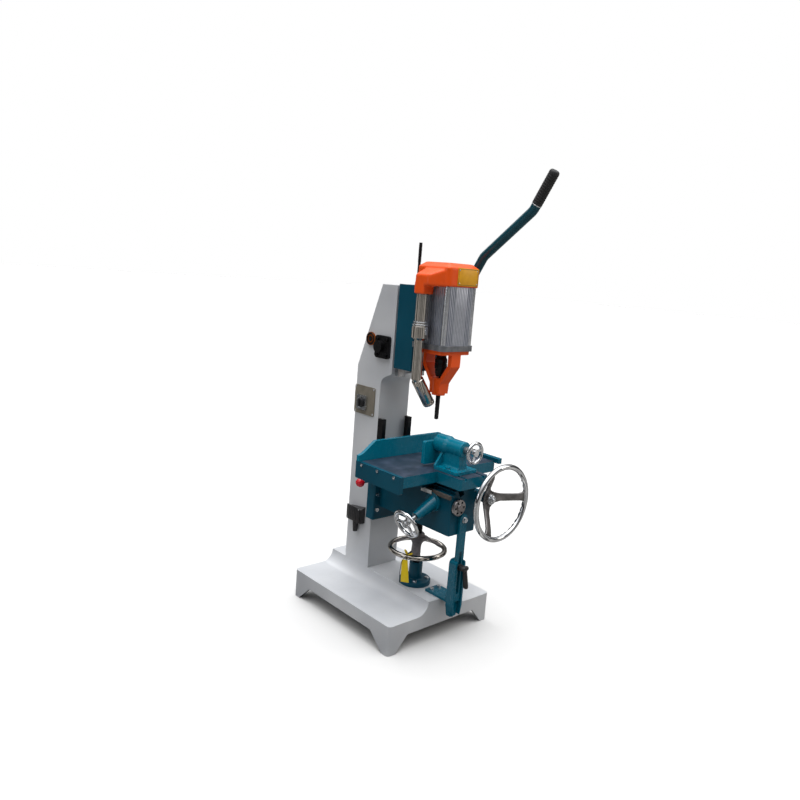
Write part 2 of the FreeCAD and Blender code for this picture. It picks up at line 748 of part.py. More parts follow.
def brace_channel():
    """Channel that the brace bar slides in, on a bracket bolted to the plateau."""
    left = BRACE_X - BRACE_WIDTH / 2 - SLIP
    right = BRACE_X + BRACE_WIDTH / 2 + SLIP
    back = KNEE_FRONT + CHANNEL_WEB
    front = KNEE_FRONT - BRACE_THICK - 5
    outer_l, outer_r = left - CHANNEL_WALL, right + CHANNEL_WALL
    body = prism("Y", [(outer_l + 8, CHANNEL_LOW, 6), (outer_r - 8, CHANNEL_LOW, 6),
                       (outer_r, CHANNEL_LOW + 40, 20), (outer_r, CHANNEL_HIGH, 14),
                       (outer_l, CHANNEL_HIGH, 14), (outer_l, CHANNEL_LOW + 40, 20)], front, back)
    groove = block(left, right, front - 1, KNEE_FRONT + SLIP, 0, COLUMN_TOP)
    bracket = block(BRACKET_LEFT, BRACKET_RIGHT, back, BRACKET_BACK,
                    PLATEAU_TOP, PLATEAU_TOP + BRACKET_THICK)
    upright = prism("X", [(back, PLATEAU_TOP), (back + BRACKET_THICK, PLATEAU_TOP),
                          (back + BRACKET_THICK, PLATEAU_TOP + 34), (back, PLATEAU_TOP + 34)],
                    BRACKET_LEFT, outer_r)
    body = joined([body.cut(groove), bracket, upright])
    stud = rod((BRACE_X, KNEE_FRONT + SLIP, STUD_Z), (0, -1, 0), STUD_R, BRACE_THICK + 14)
    return joined([body, stud])


# ==== head: slide, motor, fan cover, duct, yoke and chisel

def head_slide():
    outer = prism("Z", rectangle(-HEAD_SLIDE_HALF, HEAD_SLIDE_HALF, HEAD_SLIDE_FRONT, HEAD_SLIDE_BACK),
                  HEAD_SLIDE_LOW, HEAD_SLIDE_HIGH, 3)
    wall = HEAD_SLIDE_WALL
    way_front = HEAD_FRONT - WAY_DEPTH
    flare = (WAY_FRONT - WAY_ROOT) / WAY_DEPTH
    at_back = WAY_ROOT + flare * (HEAD_FRONT - HEAD_SLIDE_BACK)
    gap = SLIP * 1.3
    pocket = prism("Z", [(-at_back - gap, HEAD_SLIDE_BACK + 1), (at_back + gap, HEAD_SLIDE_BACK + 1),
                         (WAY_FRONT + gap, way_front - SLIP), (-WAY_FRONT - gap, way_front - SLIP)],
                   HEAD_SLIDE_LOW - 1, HEAD_SLIDE_HIGH + 1)
    floor = way_front - SLIP - wall
    core = block(-HEAD_SLIDE_HALF + wall, HEAD_SLIDE_HALF - wall, HEAD_SLIDE_FRONT + wall, floor,
                 HEAD_SLIDE_LOW - 1, HEAD_SLIDE_HIGH - wall)
    body = outer.cut(pocket).cut(core)
    rack_back = HEAD_FRONT - (WAY_DEPTH + SLIP)
    rib_face = FEED_Y - FEED_MODULE * (FEED_TEETH / 2 + DEDENDUM) - RACK_BACKING
    rib = block(-RIB_HALF, RIB_HALF, rack_back - 1, rib_face, HEAD_SLIDE_LOW, HEAD_SLIDE_HIGH)
    return joined([body, rib])


def feed_rack():
    """Rack on the head slide's rib, with a tooth gap level with the pinion shaft."""
    pitch_y = FEED_Y - FEED_MODULE * FEED_TEETH / 2
    low = FEED_Z - 50.0
    high = FEED_Z + HEAD_STROKE + 50.0
    bar = rack(FEED_MODULE, low, high, FEED_Z, RACK_HALF, RACK_BACKING)
    bar.rotate(vec(0, 0, 0), vec(0, 1, 0), -90)
    bar.rotate(vec(0, 0, 0), vec(0, 0, 1), -90)
    bar.translate(vec(0, pitch_y, 0))
    return bar


def motor_housing():
    body = prism("Z", rectangle(-MOTOR_HALF, MOTOR_HALF, -MOTOR_HALF, MOTOR_HALF),
                 MOTOR_LOW, MOTOR_HIGH, MOTOR_CORNER)
    grooves = []
    count = int((MOTOR_HALF - MOTOR_CORNER) / FIN_PITCH)
    edge = MOTOR_HALF - FIN_DEPTH
    for i in range(-count, count + 1):
        at = i * FIN_PITCH
        low, high = at - FIN_GAP / 2, at + FIN_GAP / 2
        grooves.append(block(-MOTOR_HALF - 1, -edge, low, high, MOTOR_LOW - 1, MOTOR_HIGH + 1))
        grooves.append(block(edge, MOTOR_HALF + 1, low, high, MOTOR_LOW - 1, MOTOR_HIGH + 1))
        if abs(at) > MOTOR_FLAT_HALF:
            grooves.append(block(low, high, -MOTOR_HALF - 1, -edge, MOTOR_LOW - 1, MOTOR_HIGH + 1))
            grooves.append(block(low, high, edge, MOTOR_HALF + 1, MOTOR_LOW - 1, MOTOR_HIGH + 1))
    bore = rod((0, 0, MOTOR_LOW - 1), (0, 0, 1), MOTOR_BORE_R, MOTOR_HIGH - MOTOR_LOW + 1 - MOTOR_LID)
    shaft = rod((0, 0, MOTOR_LOW), (0, 0, 1), SHAFT_R + RUN, MOTOR_HIGH)
    body = body.cut(Part.makeCompound(grooves)).cut(bore).cut(shaft)
    body.translate(vec(0, SPINDLE_Y, 0))
    return body


def motor_base_plate():
    outline = [(-PLATE_HALF, SPINDLE_Y - PLATE_HALF, PLATE_ROUND),
               (PLATE_HALF, SPINDLE_Y - PLATE_HALF, PLATE_ROUND),
               (PLATE_HALF, HEAD_SLIDE_FRONT), (-PLATE_HALF, HEAD_SLIDE_FRONT)]
    plate = prism("Z", outline, PLATE_LOW, MOTOR_LOW)
    return plate.cut(rod((0, SPINDLE_Y, 0), (0, 0, 1), SHAFT_R + RUN, COLUMN_TOP))


def motor_cap():
    """Fan cover with the volute and spout of the chip blower."""
    y = SPINDLE_Y
    outer = loft([(MOTOR_HIGH, CAP_LOW_HALF, CAP_LOW_HALF, CAP_ROUND, 0, y),
                  (CAP_SHOULDER, CAP_HIGH_HALF, CAP_HIGH_HALF, CAP_ROUND, 0, y)])
    crown = loft([(CAP_SHOULDER, CAP_HIGH_HALF, CAP_HIGH_HALF, CAP_ROUND, 0, y),
                  (CAP_TOP, CAP_TOP_HALF, CAP_TOP_HALF, CAP_ROUND - 5, 0, y)])
    plan = [(-CAP_LOW_HALF + 6, y - CAP_HIGH_HALF + 6), (-CAP_LOW_HALF - 4, y - CAP_HIGH_HALF + 1, 6),
            (VOLUTE_LEFT, SPOUT_FRONT, 12), (VOLUTE_LEFT, SPOUT_BACK, 4), (-CAP_LOW_HALF + 6, SPOUT_BACK)]
    volute = prism("Z", plan, VOLUTE_BOTTOM, CAP_SHOULDER)
    slope = (CAP_SHOULDER - VOLUTE_TOP) / (-CAP_HIGH_HALF - VOLUTE_LEFT)
    reach = 30.0
    facet = prism("Y", [(VOLUTE_LEFT - reach, VOLUTE_TOP - reach * slope),
                        (-CAP_HIGH_HALF + reach, CAP_SHOULDER + reach * slope),
                        (VOLUTE_LEFT - reach, CAP_SHOULDER + reach * slope)],
                  y - BASE_WIDTH / 2, y + BASE_WIDTH / 2)
    volute = volute.cut(facet)
    spout = prism("Z", rectangle(VOLUTE_LEFT, -MOTOR_HALF - 2, SPOUT_FRONT, SPOUT_BACK),
                  SPOUT_BOTTOM, VOLUTE_BOTTOM + 1, 3)
    body = joined([outer, crown, volute, spout])
    inner = CAP_LOW_HALF - CAP_WALL
    hollow = loft([(MOTOR_HIGH - 3, inner, inner, CAP_ROUND - CAP_WALL, 0, y),
                   (CAP_SHOULDER - CAP_WALL, inner, inner, CAP_ROUND - CAP_WALL, 0, y)])
    throat = rod((DUCT_X, DUCT_Y, SPOUT_BOTTOM - 1), (0, 0, 1), DUCT_TOP_R - DUCT_WALL,
                 VOLUTE_TOP - SPOUT_BOTTOM - CAP_WALL)
    duct_y = DUCT_TOP_R - DUCT_WALL
    blow = block(DUCT_X, 0, DUCT_Y - duct_y, DUCT_Y + duct_y, MOTOR_HIGH + 4, VOLUTE_TOP - CAP_WALL)
    below = block(-MOTOR_HALF - 1, MOTOR_HALF + 1, y - MOTOR_HALF - 1, y + MOTOR_HALF + 1,
                  SPOUT_BOTTOM - 1, MOTOR_HIGH)
    return body.cut(hollow).cut(throat).cut(blow).cut(below)


def duct_upper():
    tube = rod((DUCT_X, DUCT_Y, DUCT_JOINT_HIGH), (0, 0, 1), DUCT_TOP_R,
               SPOUT_BOTTOM - DUCT_JOINT_HIGH)
    return tube.cut(rod((DUCT_X, DUCT_Y, DUCT_JOINT_HIGH - 1), (0, 0, 1),
                        DUCT_TOP_R - DUCT_WALL, 200))


def duct_coupling():
    low, high = DUCT_JOINT_LOW, DUCT_JOINT_HIGH
    bore = DUCT_R - DUCT_WALL
    top_bore = DUCT_TOP_R - DUCT_WALL
    neck, collar = DUCT_R + 2, DUCT_TOP_R + 3
    profile = [(bore, low), (neck, low), (DUCT_JOINT_R, low + 7, 2), (DUCT_JOINT_R, high - 8, 3),
               (collar, high - 8), (collar, high, 2), (top_bore, high), (top_bore, high - 12),
               (bore, high - 24)]
    ring = turned_profile(profile)
    ring.translate(vec(DUCT_X, DUCT_Y, 0))
    return ring


def duct_lower():
    """Straight pipe with a mitred nozzle that points at the chisel."""
    lean = math.radians(DUCT_LEAN)
    down = vec(math.sin(lean), 0, -math.cos(lean))
    knee = vec(DUCT_X, DUCT_Y, DUCT_KNEE)
    mitre = down + vec(0, 0, -1)
    mitre.normalize()

    def pipe(radius, extra):
        top = knee + vec(0, 0, DUCT_JOINT_LOW - DUCT_KNEE + extra)
        reach = radius * 2
        upright = Part.makeCylinder(radius, (top - knee).Length + reach, top, vec(0, 0, -1))
        slanted = Part.makeCylinder(radius, DUCT_NOZZLE + reach + extra, knee - down * reach, down)
        half = Part.makeBox(400, 400, 400)
        half.translate(vec(-200, -200, 0))
        half.rotate(vec(0, 0, 0), vec(0, 1, 0), math.degrees(math.atan2(mitre.x, mitre.z)))
        half.translate(knee)
        return upright.cut(half).fuse(slanted.common(half))

    return pipe(DUCT_R, 0).cut(pipe(DUCT_R - DUCT_WALL, 1)).removeSplitter()


def chisel_yoke():
    """Forked holder: a square flange, a leg in front and behind, and the chisel socket."""
    y = SPINDLE_Y
    low = YOKE_TOP - YOKE_FLANGE
    flange = prism("Z", rectangle(-YOKE_REACH, YOKE_REACH, y - YOKE_REACH, y + YOKE_REACH),
                   low, YOKE_TOP, 14)
    inner = YOKE_REACH - YOKE_WALL
    outline = [(y - YOKE_REACH, low + 1), (y - YOKE_REACH, YOKE_KNEE, 8), (y - BLOCK_TOP_R, BLOCK_TOP, 6),
               (y - BLOCK_LOW_R, BLOCK_LOW + 6), (y + BLOCK_LOW_R, BLOCK_LOW + 6),
               (y + BLOCK_TOP_R, BLOCK_TOP, 6), (y + YOKE_REACH, YOKE_KNEE, 8), (y + YOKE_REACH, low + 1)]
    legs = prism("X", outline, -YOKE_HALF, YOKE_HALF)
    window = prism("X", [(y - inner, low), (y - inner, YOKE_KNEE + 3, 6), (y - CHUCK_R, YOKE_WEB_TOP, 4),
                         (y + CHUCK_R, YOKE_WEB_TOP, 4), (y + inner, YOKE_KNEE + 3, 6), (y + inner, low)],
                   -BASE_WIDTH, BASE_WIDTH)
    socket = cone((0, y, BLOCK_LOW), (0, 0, 1), BLOCK_LOW_R, BLOCK_TOP_R, YOKE_WEB_TOP - BLOCK_LOW)
    body = joined([flange, legs.cut(window), socket])
    bore = rod((0, y, BLOCK_LOW - 1), (0, 0, 1), CHISEL_SHANK_R + SEAT, YOKE_WEB_TOP)
    shaft = rod((0, y, low - 1), (0, 0, 1), CHUCK_R + 6, YOKE_FLANGE + 2)
    return body.cut(bore).cut(shaft)


def hollow_chisel():
    shank = rod((0, 0, BLOCK_LOW), (0, 0, 1), CHISEL_SHANK_R, YOKE_WEB_TOP - BLOCK_LOW - 6)
    half, tip = CHISEL_SIZE / 2, CHISEL_TIP_SIZE / 2
    blade = loft([(CHISEL_LOW, tip, tip, 0, 0, 0), (CHISEL_LOW + 14, half, half, 0, 0, 0),
                  (BLOCK_LOW, half, half, 0, 0, 0)])
    chip_slot = block(-half - 1, half + 1, -2.2, 2.2, CHISEL_LOW + 22, CHISEL_LOW + 58)
    chip_slot = chip_slot.common(block(-half - 1, 0, -3, 3, 0, COLUMN_TOP))
    bore = rod((0, 0, 0), (0, 0, 1), CHISEL_BORE_R, COLUMN_TOP)
    body = joined([shank, blade]).cut(bore).cut(chip_slot)
    body.translate(vec(0, SPINDLE_Y, 0))
    return body


def depth_rod():
    start = (DEPTH_ROD_X, DEPTH_ROD_Y, HEAD_SLIDE_HIGH)
    head_at = HEAD_SLIDE_HIGH + DEPTH_ROD_RISE - DEPTH_ROD_HEAD
    shaft = rod(start, (0, 0, 1), DEPTH_ROD_R, DEPTH_ROD_RISE - DEPTH_ROD_HEAD / 2)
    head = rod((DEPTH_ROD_X, DEPTH_ROD_Y, head_at), (0, 0, 1), DEPTH_ROD_HEAD_R, DEPTH_ROD_HEAD)
    reach = 2 * DEPTH_ROD_HEAD_R
    flat = block(DEPTH_ROD_X - reach, DEPTH_ROD_X + reach, DEPTH_ROD_Y - reach,
                 DEPTH_ROD_Y - 0.7 * DEPTH_ROD_HEAD_R, head_at + DEPTH_ROD_HEAD / 3,
                 head_at + DEPTH_ROD_HEAD + 1)
    nut = hexagon(6.5, HEAD_SLIDE_HIGH, HEAD_SLIDE_HIGH + 6)
    nut.translate(vec(DEPTH_ROD_X, DEPTH_ROD_Y, 0))
    return joined([shaft, head.cut(flat), nut])


def motor_rotor():
    shaft = rod((0, SPINDLE_Y, CHUCK_HIGH - 18), (0, 0, 1), SHAFT_R, MOTOR_HIGH + 34 - CHUCK_HIGH)
    core = rod((0, SPINDLE_Y, MOTOR_LOW + 12), (0, 0, 1), ROTOR_R,
               MOTOR_HIGH - MOTOR_LOW - MOTOR_LID - 24)
    return joined([shaft, core])


def cooling_fan():
    low = MOTOR_HIGH + 6
    disc = rod((0, SPINDLE_Y, low), (0, 0, 1), FAN_R, 3)
    hub = rod((0, SPINDLE_Y, low), (0, 0, 1), SHAFT_R + 7, 24)
    pieces = [disc, hub]
    for i in range(FAN_BLADES):
        blade = block(SHAFT_R + 5, FAN_R - 1, SPINDLE_Y - 1.2, SPINDLE_Y + 1.2, low + 1, low + 24)
        blade = turned(blade, (SHAFT_R + 5, SPINDLE_Y, 0), (0, 0, 1), -22)
        pieces.append(turned(blade, (0, SPINDLE_Y, 0), (0, 0, 1), 360 * i / FAN_BLADES))
    fan = joined(pieces)
    return fan.cut(rod((0, SPINDLE_Y, low - 1), (0, 0, 1), SHAFT_R + SEAT, 40))


def drill_chuck():
    low, high = CHUCK_LOW, CHUCK_HIGH
    nose = CHUCK_R - 7
    profile = [(0, low), (nose, low, 1), (CHUCK_R - 2, low + 12, 2), (CHUCK_R - 2, low + 26),
               (CHUCK_R, low + 27, 1), (CHUCK_R, high - 18, 2), (CHUCK_R - 4, high - 12),
               (CHUCK_R - 4, high), (0, high)]
    body = turned_profile(profile)
    body = body.cut(rod((0, 0, high - 18), (0, 0, 1), SHAFT_R + SEAT, 30))
    body = body.cut(rod((0, 0, low - 1), (0, 0, 1), AUGER_R + SEAT, 41))
    body.translate(vec(0, SPINDLE_Y, 0))
    return body


def auger_bit():
    start = (0, SPINDLE_Y, AUGER_LOW)
    shank = rod((0, SPINDLE_Y, AUGER_LOW + 6), (0, 0, 1), AUGER_R, CHUCK_LOW + 34 - AUGER_LOW)
    point = cone(start, (0, 0, 1), 0.6, AUGER_R, 6)
    return joined([shank, point])


# ==== feed shaft and lever

def pinion_shaft():
    wheel = gear(FEED_MODULE, FEED_TEETH, FEED_FACE, 0)
    wheel.translate(vec(0, 0, -FEED_FACE / 2))
    wheel.rotate(vec(0, 0, 0), vec(0, 1, 0), 90)
    # a tooth has to point along -Y, at the rack
    wheel.rotate(vec(0, 0, 0), vec(1, 0, 0), 90)
    wheel.translate(vec(0, FEED_Y, FEED_Z))
    left = -COLUMN_HALF - FLANGE_THICK - FLANGE_BOSS + SLIP
    right = LEVER_X + LEVER_HUB_R * 0.5
    shaft = rod((left, FEED_Y, FEED_Z), (1, 0, 0), FEED_SHAFT_R, right - left)
    collar = rod((-FEED_FACE / 2 - 12, FEED_Y, FEED_Z), (1, 0, 0), FEED_SHAFT_R + 8, FEED_FACE + 24)
    return joined([wheel, shaft, collar])


def lever_point(distance_from_tip):
    """Point on the straight last run of the lever, and its direction towards the tip."""
    tip = vec(LEVER_X, *LEVER_PATH[-1])
    before = vec(LEVER_X, *LEVER_PATH[-2])
    run = tip - before
    run.normalize()
    return tip - run * distance_from_tip, run


def feed_lever():
    path = [(y, z, LEVER_BEND) for y, z in LEVER_PATH]
    wire = corner_arcs(path, False)
    wire.Placement = STAND["X"]
    wire.translate(vec(LEVER_X, 0, 0))
    start = vec(LEVER_X, *LEVER_PATH[0])
    first_run = vec(LEVER_X, *LEVER_PATH[1]) - start
    circle = Part.Wire([Part.Circle(start, first_run, LEVER_R).toShape()])
    bar = wire.makePipeShell([circle], True, False)
    hub_half = LEVER_X - COLUMN_HALF - FLANGE_THICK - FLANGE_BOSS - SLIP
    hub = rod((LEVER_X - hub_half, FEED_Y, FEED_Z), (1, 0, 0), LEVER_HUB_R, 2 * hub_half)
    lever = joined([bar, hub])
    lever = lever.cut(rod((0, FEED_Y, FEED_Z), (1, 0, 0), FEED_SHAFT_R + SEAT, BASE_WIDTH))
    grip_at, run = lever_point(GRIP_LENGTH)
    room = Part.makeCylinder(GRIP_R, GRIP_LENGTH * 2, grip_at, run)
    core = Part.makeCylinder(LEVER_R - 4, GRIP_LENGTH - 8, grip_at, run)
    return lever.cut(room).fuse(core).removeSplitter()


def lever_grip():
    grip_at, run = lever_point(GRIP_LENGTH)
    profile = [(0, 0), (GRIP_R - 1.5, 0, 1), (GRIP_R, 12, 10), (GRIP_R, GRIP_LENGTH, 9), (0, GRIP_LENGTH)]
    grip = aim(turned_profile(profile), tuple(grip_at), tuple(run))
    socket = Part.makeCylinder(LEVER_R - 4 + SEAT, GRIP_LENGTH - 8 + SEAT, grip_at, run)
    return grip.cut(socket)


# ==== knee

def knee_casting():
    top_way = KNEE_TOP + KNEE_WAY_HEIGHT
    front, back = KNEE_FRONT, KNEE_BLOCK_FRONT
    body = prism("Z", [(-KNEE_HALF, front, 5), (KNEE_HALF, front, 5), (KNEE_HALF, back + 1),
                       (-KNEE_HALF, back + 1)], KNEE_LOW, KNEE_TOP)
    ways = prism("Y", [(-KNEE_WAY_ROOT, KNEE_TOP - 1), (KNEE_WAY_ROOT, KNEE_TOP - 1),
                       (KNEE_WAY_ROOT, KNEE_TOP), (KNEE_WAY_TOP, top_way), (-KNEE_WAY_TOP, top_way),
                       (-KNEE_WAY_ROOT, KNEE_TOP)], front, back)
    cheek = KNEE_BLOCK_HALF
    rear = prism("Z", [(-cheek, back, 6), (cheek, back, 6), (cheek, KNEE_BLOCK_BACK, 4),
                       (-cheek, KNEE_BLOCK_BACK, 4)], RAIL_LOW, KNEE_TOP)
    side = COLUMN_HALF + SLIP
    lip_back = RAIL_FRONT + RAIL_LIP + SLIP
    column_gap = COLUMN_FRONT - SLIP
    neck = COLUMN_HALF - RAIL_WIDTH - SLIP
    tongue = COLUMN_HALF - RAIL_NECK - SLIP
    rail_gap = RAIL_FRONT - SLIP
    socket = prism("Z", [(-side, KNEE_BLOCK_BACK + 1), (-side, rail_gap), (-neck, rail_gap),
                         (-neck, lip_back), (-tongue, lip_back), (-tongue, column_gap),
                         (tongue, column_gap), (tongue, lip_back), (neck, lip_back), (neck, rail_gap),
                         (side, rail_gap), (side, KNEE_BLOCK_BACK + 1)], 0, COLUMN_TOP)
    wall = KNEE_WALL
    hollow = block(-KNEE_HALF + wall, KNEE_HALF - wall, front + wall, back - wall,
                   KNEE_LOW + wall + 3, KNEE_TOP - wall)
    body = joined([body, ways, rear.cut(socket)]).cut(hollow)
    screw_bore = rod((0, SCREW_Y, 0), (0, 0, 1), SCREW_R + RUN, KNEE_TOP - wall)
    lock_bore = rod((-BASE_WIDTH, BALL_Y, BALL_Z), (1, 0, 0), PLUNGER_R + RUN, BASE_WIDTH - COLUMN_HALF)
    return body.cut(screw_bore).cut(lock_bore).cut(rack_trench()).cut(cross_shaft_hole())


def cross_axis():
    tilt = math.radians(CROSS_TILT)
    return vec(math.cos(tilt), 0, math.sin(tilt)), vec(-math.sin(tilt), 0, math.cos(tilt))


def cross_shaft_point(x):
    """Point of the small wheel's shaft at a given x."""
    rise = (x + KNEE_HALF) * math.tan(math.radians(CROSS_TILT))
    return vec(x, CROSS_Y, CROSS_SHAFT_Z + rise)


def rack_trench():
    """Slot along the top of the knee for the tilted rack, and room for its pinion."""
    axis, normal = cross_axis()
    centre = cross_shaft_point(CROSS_PINION_X)
    pitch_r = CROSS_MODULE * CROSS_TEETH / 2
    half = CROSS_FACE / 2 + 3
    low = pitch_r - 3
    trench = block(-half, half, KNEE_FRONT - 1, CROSS_IN - CROSS_OUT, low, low + 60)
    trench = turned(trench, (0, 0, 0), (0, 1, 0), -CROSS_TILT)
    trench.translate(vec(centre.x, 0, centre.z))
    room = Part.makeCylinder(pitch_r + 3, 2 * half, centre - axis * half, axis)
    return trench.fuse(room)


def cross_shaft_hole():
    axis, normal = cross_axis()
    start = cross_shaft_point(-BASE_WIDTH / 2)
    end = cross_shaft_point(CROSS_PINION_X)
    return Part.makeCylinder(CROSS_SHAFT_R + RUN, (end - start).Length, start, axis)


def way_strip():
    """Steel strip along the knee's left top edge, with its end block."""
    outer = -KNEE_HALF - STRIP_THICK
    strip = block(outer, -KNEE_HALF, KNEE_FRONT, STRIP_REAR - 14, STRIP_LOW, KNEE_TOP)
    end = block(outer - 3, -KNEE_HALF, STRIP_REAR - 14, STRIP_REAR, STRIP_LOW - 3, KNEE_TOP)
    strip = strip.cut(cross_flange_room())
    return joined([strip, end])


def cross_flange_room():
    start = cross_shaft_point(-KNEE_HALF)
    return rod((start.x + 1, start.y, start.z), (-1, 0, 0), CROSS_HOUSING_FLANGE_R + SLIP, 40)


def cross_feed_housing():
    axis, normal = cross_axis()
    face = cross_shaft_point(-KNEE_HALF)
    flange = rod((face.x, face.y, face.z), (-1, 0, 0), CROSS_HOUSING_FLANGE_R, 9)
    root = Part.makeCylinder(CROSS_HOUSING_R, 30, face + axis * 30, axis * -1)
    nose = Part.makeCone(CROSS_HOUSING_R, CROSS_HOUSING_END_R, CROSS_HOUSING_LENGTH, face, axis * -1)
    outside = block(-BASE_WIDTH, -KNEE_HALF, -BASE_DEPTH, BASE_DEPTH, 0, COLUMN_TOP)
    housing = joined([flange, root, nose]).common(outside)
    return housing.cut(cross_shaft_hole())


def brace_bar():
    left, right = BRACE_X - BRACE_WIDTH / 2, BRACE_X + BRACE_WIDTH / 2
    front = KNEE_FRONT - BRACE_THICK
    bar = prism("Y", [(left, BRACE_LOW), (right, BRACE_LOW), (right, BRACE_HIGH, 12),
                      (left, BRACE_HIGH, 12)], front, KNEE_FRONT)
    slot_half = STUD_R + SLOT_PLAY
    slot_low = STUD_Z - KNEE_UP - 2 * slot_half
    slot_high = STUD_Z + KNEE_DOWN + 2 * slot_half
    slot = prism("Y", rectangle(BRACE_X - slot_half, BRACE_X + slot_half, slot_low, slot_high),
                 front - 1, KNEE_FRONT + 1, slot_half - 0.01)
    return bar.cut(slot)


def knee_bolts():
    """Bolt and washer of the brace bar, and the screws that hold the knee's gib."""
    at = (BRACE_X + 2, KNEE_FRONT - BRACE_THICK, BRACE_BOLT_Z)
    washer = rod(at, (0, -1, 0), 10, 1.6)
    head = hex_bolt((at[0], at[1] - 1.6, at[2]), (0, -1, 0), 8, 6)
    pieces = [joined([washer, head])]
    for z in (RAIL_LOW + 35, (RAIL_LOW + KNEE_TOP) / 2, KNEE_TOP - 25):
        for side in (-1, 1):
            x = side * (KNEE_BLOCK_HALF - 13)
            pieces.append(cylinder_head((x, KNEE_BLOCK_FRONT, z), (0, -1, 0), 6.5, 6, 3))
    return group(pieces)


def elevating_screw():
    top = KNEE_LOW + SCREW_JOURNAL
    return rod((0, SCREW_Y, SCREW_BOTTOM), (0, 0, 1), SCREW_R, top - SCREW_BOTTOM)


def elevating_wheel():
    wheel = hand_wheel(LIFT_WHEEL_R, LIFT_RIM_R, LIFT_WHEEL_Z, LIFT_HUB_R, LIFT_HUB_LOW, LIFT_HUB_HIGH,
                       SCREW_R + SEAT, LIFT_SPOKE_TURN, LIFT_SPOKE)
    wheel.translate(vec(0, SCREW_Y, 0))
    return wheel


# ==== cross slide

def saddle_top():
    return KNEE_TOP + KNEE_WAY_HEIGHT + SLIP + CROSS_THICK


def saddle_way_top():
    return TABLE_TOP - TABLE_PLATE - SLIP


def idler_centre():
    distance = TRAVERSE_MODULE * (PINION_TEETH + IDLER_TEETH) / 2
    reach = math.sqrt(distance ** 2 - IDLER_RISE ** 2)
    return TRAVERSE_X + reach, TRAVERSE_Z + IDLER_RISE


def cross_slide():
    """Saddle that slides on the knee, with a dovetail for the table and the traverse gear case."""
    low = KNEE_TOP + KNEE_WAY_HEIGHT + SLIP
    high = saddle_top()
    plate = block(-CROSS_HALF, CROSS_HALF, CROSS_FRONT, CROSS_BACK, low, high)
    lips = block(-CROSS_HALF, CROSS_HALF, CROSS_FRONT, CROSS_BACK, KNEE_TOP + SLIP, low + 1)
    flare = (KNEE_WAY_TOP - KNEE_WAY_ROOT) / KNEE_WAY_HEIGHT
    gap = SLIP * 1.2
    at_low = KNEE_WAY_ROOT + gap + SLIP * flare
    at_high = at_low + flare * KNEE_WAY_HEIGHT
    groove = prism("Y", [(-at_low, KNEE_TOP + SLIP - 0.001), (at_low, KNEE_TOP + SLIP - 0.001),
                         (at_high, low), (-at_high, low)], CROSS_FRONT - 1, CROSS_BACK + 1)
    lips = lips.cut(groove)
    way_top = saddle_way_top()
    way = prism("X", [(CROSS_WAY_FRONT + WAY_FLARE, high - 1), (CROSS_WAY_BACK - WAY_FLARE, high - 1),
                      (CROSS_WAY_BACK - WAY_FLARE, high), (CROSS_WAY_BACK, way_top),
                      (CROSS_WAY_FRONT, way_top), (CROSS_WAY_FRONT + WAY_FLARE, high)],
                -CROSS_HALF, CROSS_HALF)
    idler_x, idler_z = idler_centre()
    case_left = KNEE_HALF + 2
    case_right = idler_x + TRAVERSE_MODULE * IDLER_TEETH / 2 + 8
    pinion_tip = TRAVERSE_MODULE * (PINION_TEETH / 2 + ADDENDUM)
    case_low = TRAVERSE_Z - pinion_tip - 6
    rack_low = idler_z + TRAVERSE_MODULE * (IDLER_TEETH / 2 - ADDENDUM)
    outline = [(case_left, case_low, 10), (TRAVERSE_X + BEARING_R + 3, case_low, 12),
               (case_right, TRAVERSE_Z + 4, 12), (case_right, rack_low - 2), (case_left, rack_low - 2)]
    front_plate = prism("Y", outline, GEAR_FRONT - CASE_GAP - CASE_PLATE, GEAR_FRONT - CASE_GAP)
    rear_plate = prism("Y", outline, GEAR_BACK + CASE_GAP, GEAR_BACK + CASE_GAP + CASE_PLATE)
    floor_low = case_low + 1
    floor_right = TRAVERSE_X + BEARING_R
    floor = prism("Y", [(case_left, floor_low), (floor_right, floor_low), (case_right - 1, TRAVERSE_Z + 6),
                        (case_right - 1, idler_z), (case_right - 6, idler_z),
                        (case_right - 6, TRAVERSE_Z + 8), (floor_right - 2, floor_low + 4),
                        (case_left, floor_low + 4)],
                  GEAR_FRONT - CASE_GAP - 1, GEAR_BACK + CASE_GAP + 1)
    body = joined([plate, lips, way, rear_plate, front_plate, floor])
    traverse_bore = rod((TRAVERSE_X, -BASE_DEPTH, TRAVERSE_Z), (0, 1, 0), TRAVERSE_SHAFT_R + RUN,
                        2 * BASE_DEPTH)
    idler_bore = rod((idler_x, GEAR_FRONT - 12, idler_z), (0, 1, 0), IDLER_PIN_R + RUN,
                     GEAR_BACK - GEAR_FRONT + 24)
    return body.cut(traverse_bore).cut(idler_bore).cut(rack_clearance())


def rack_clearance():
    """Room above the knee's trench, so that the rack's back seats in the saddle's underside."""
    return cross_rack().common(block(-CROSS_HALF, CROSS_HALF, -BASE_DEPTH, BASE_DEPTH, KNEE_TOP,
                                     COLUMN_TOP))


CROSS_RACK_FRONT = CROSS_Y - CROSS_IN - 12.0
CROSS_RACK_BACK = CROSS_Y + CROSS_OUT + 10.0
CROSS_RACK_BACKING = 14.0


def cross_rack():
    pitch_r = CROSS_MODULE * CROSS_TEETH / 2
    bar = rack(CROSS_MODULE, CROSS_RACK_FRONT, CROSS_RACK_BACK, CROSS_Y, CROSS_FACE / 2,
               CROSS_RACK_BACKING)
    bar.rotate(vec(0, 0, 0), vec(1, 0, 0), 180)
    bar.translate(vec(0, 0, pitch_r))
    bar.rotate(vec(0, 0, 0), vec(0, 0, 1), 90)
    bar.rotate(vec(0, 0, 0), vec(0, 1, 0), -CROSS_TILT)
    centre = cross_shaft_point(CROSS_PINION_X)
    bar.translate(vec(centre.x, 0, centre.z))
    return bar


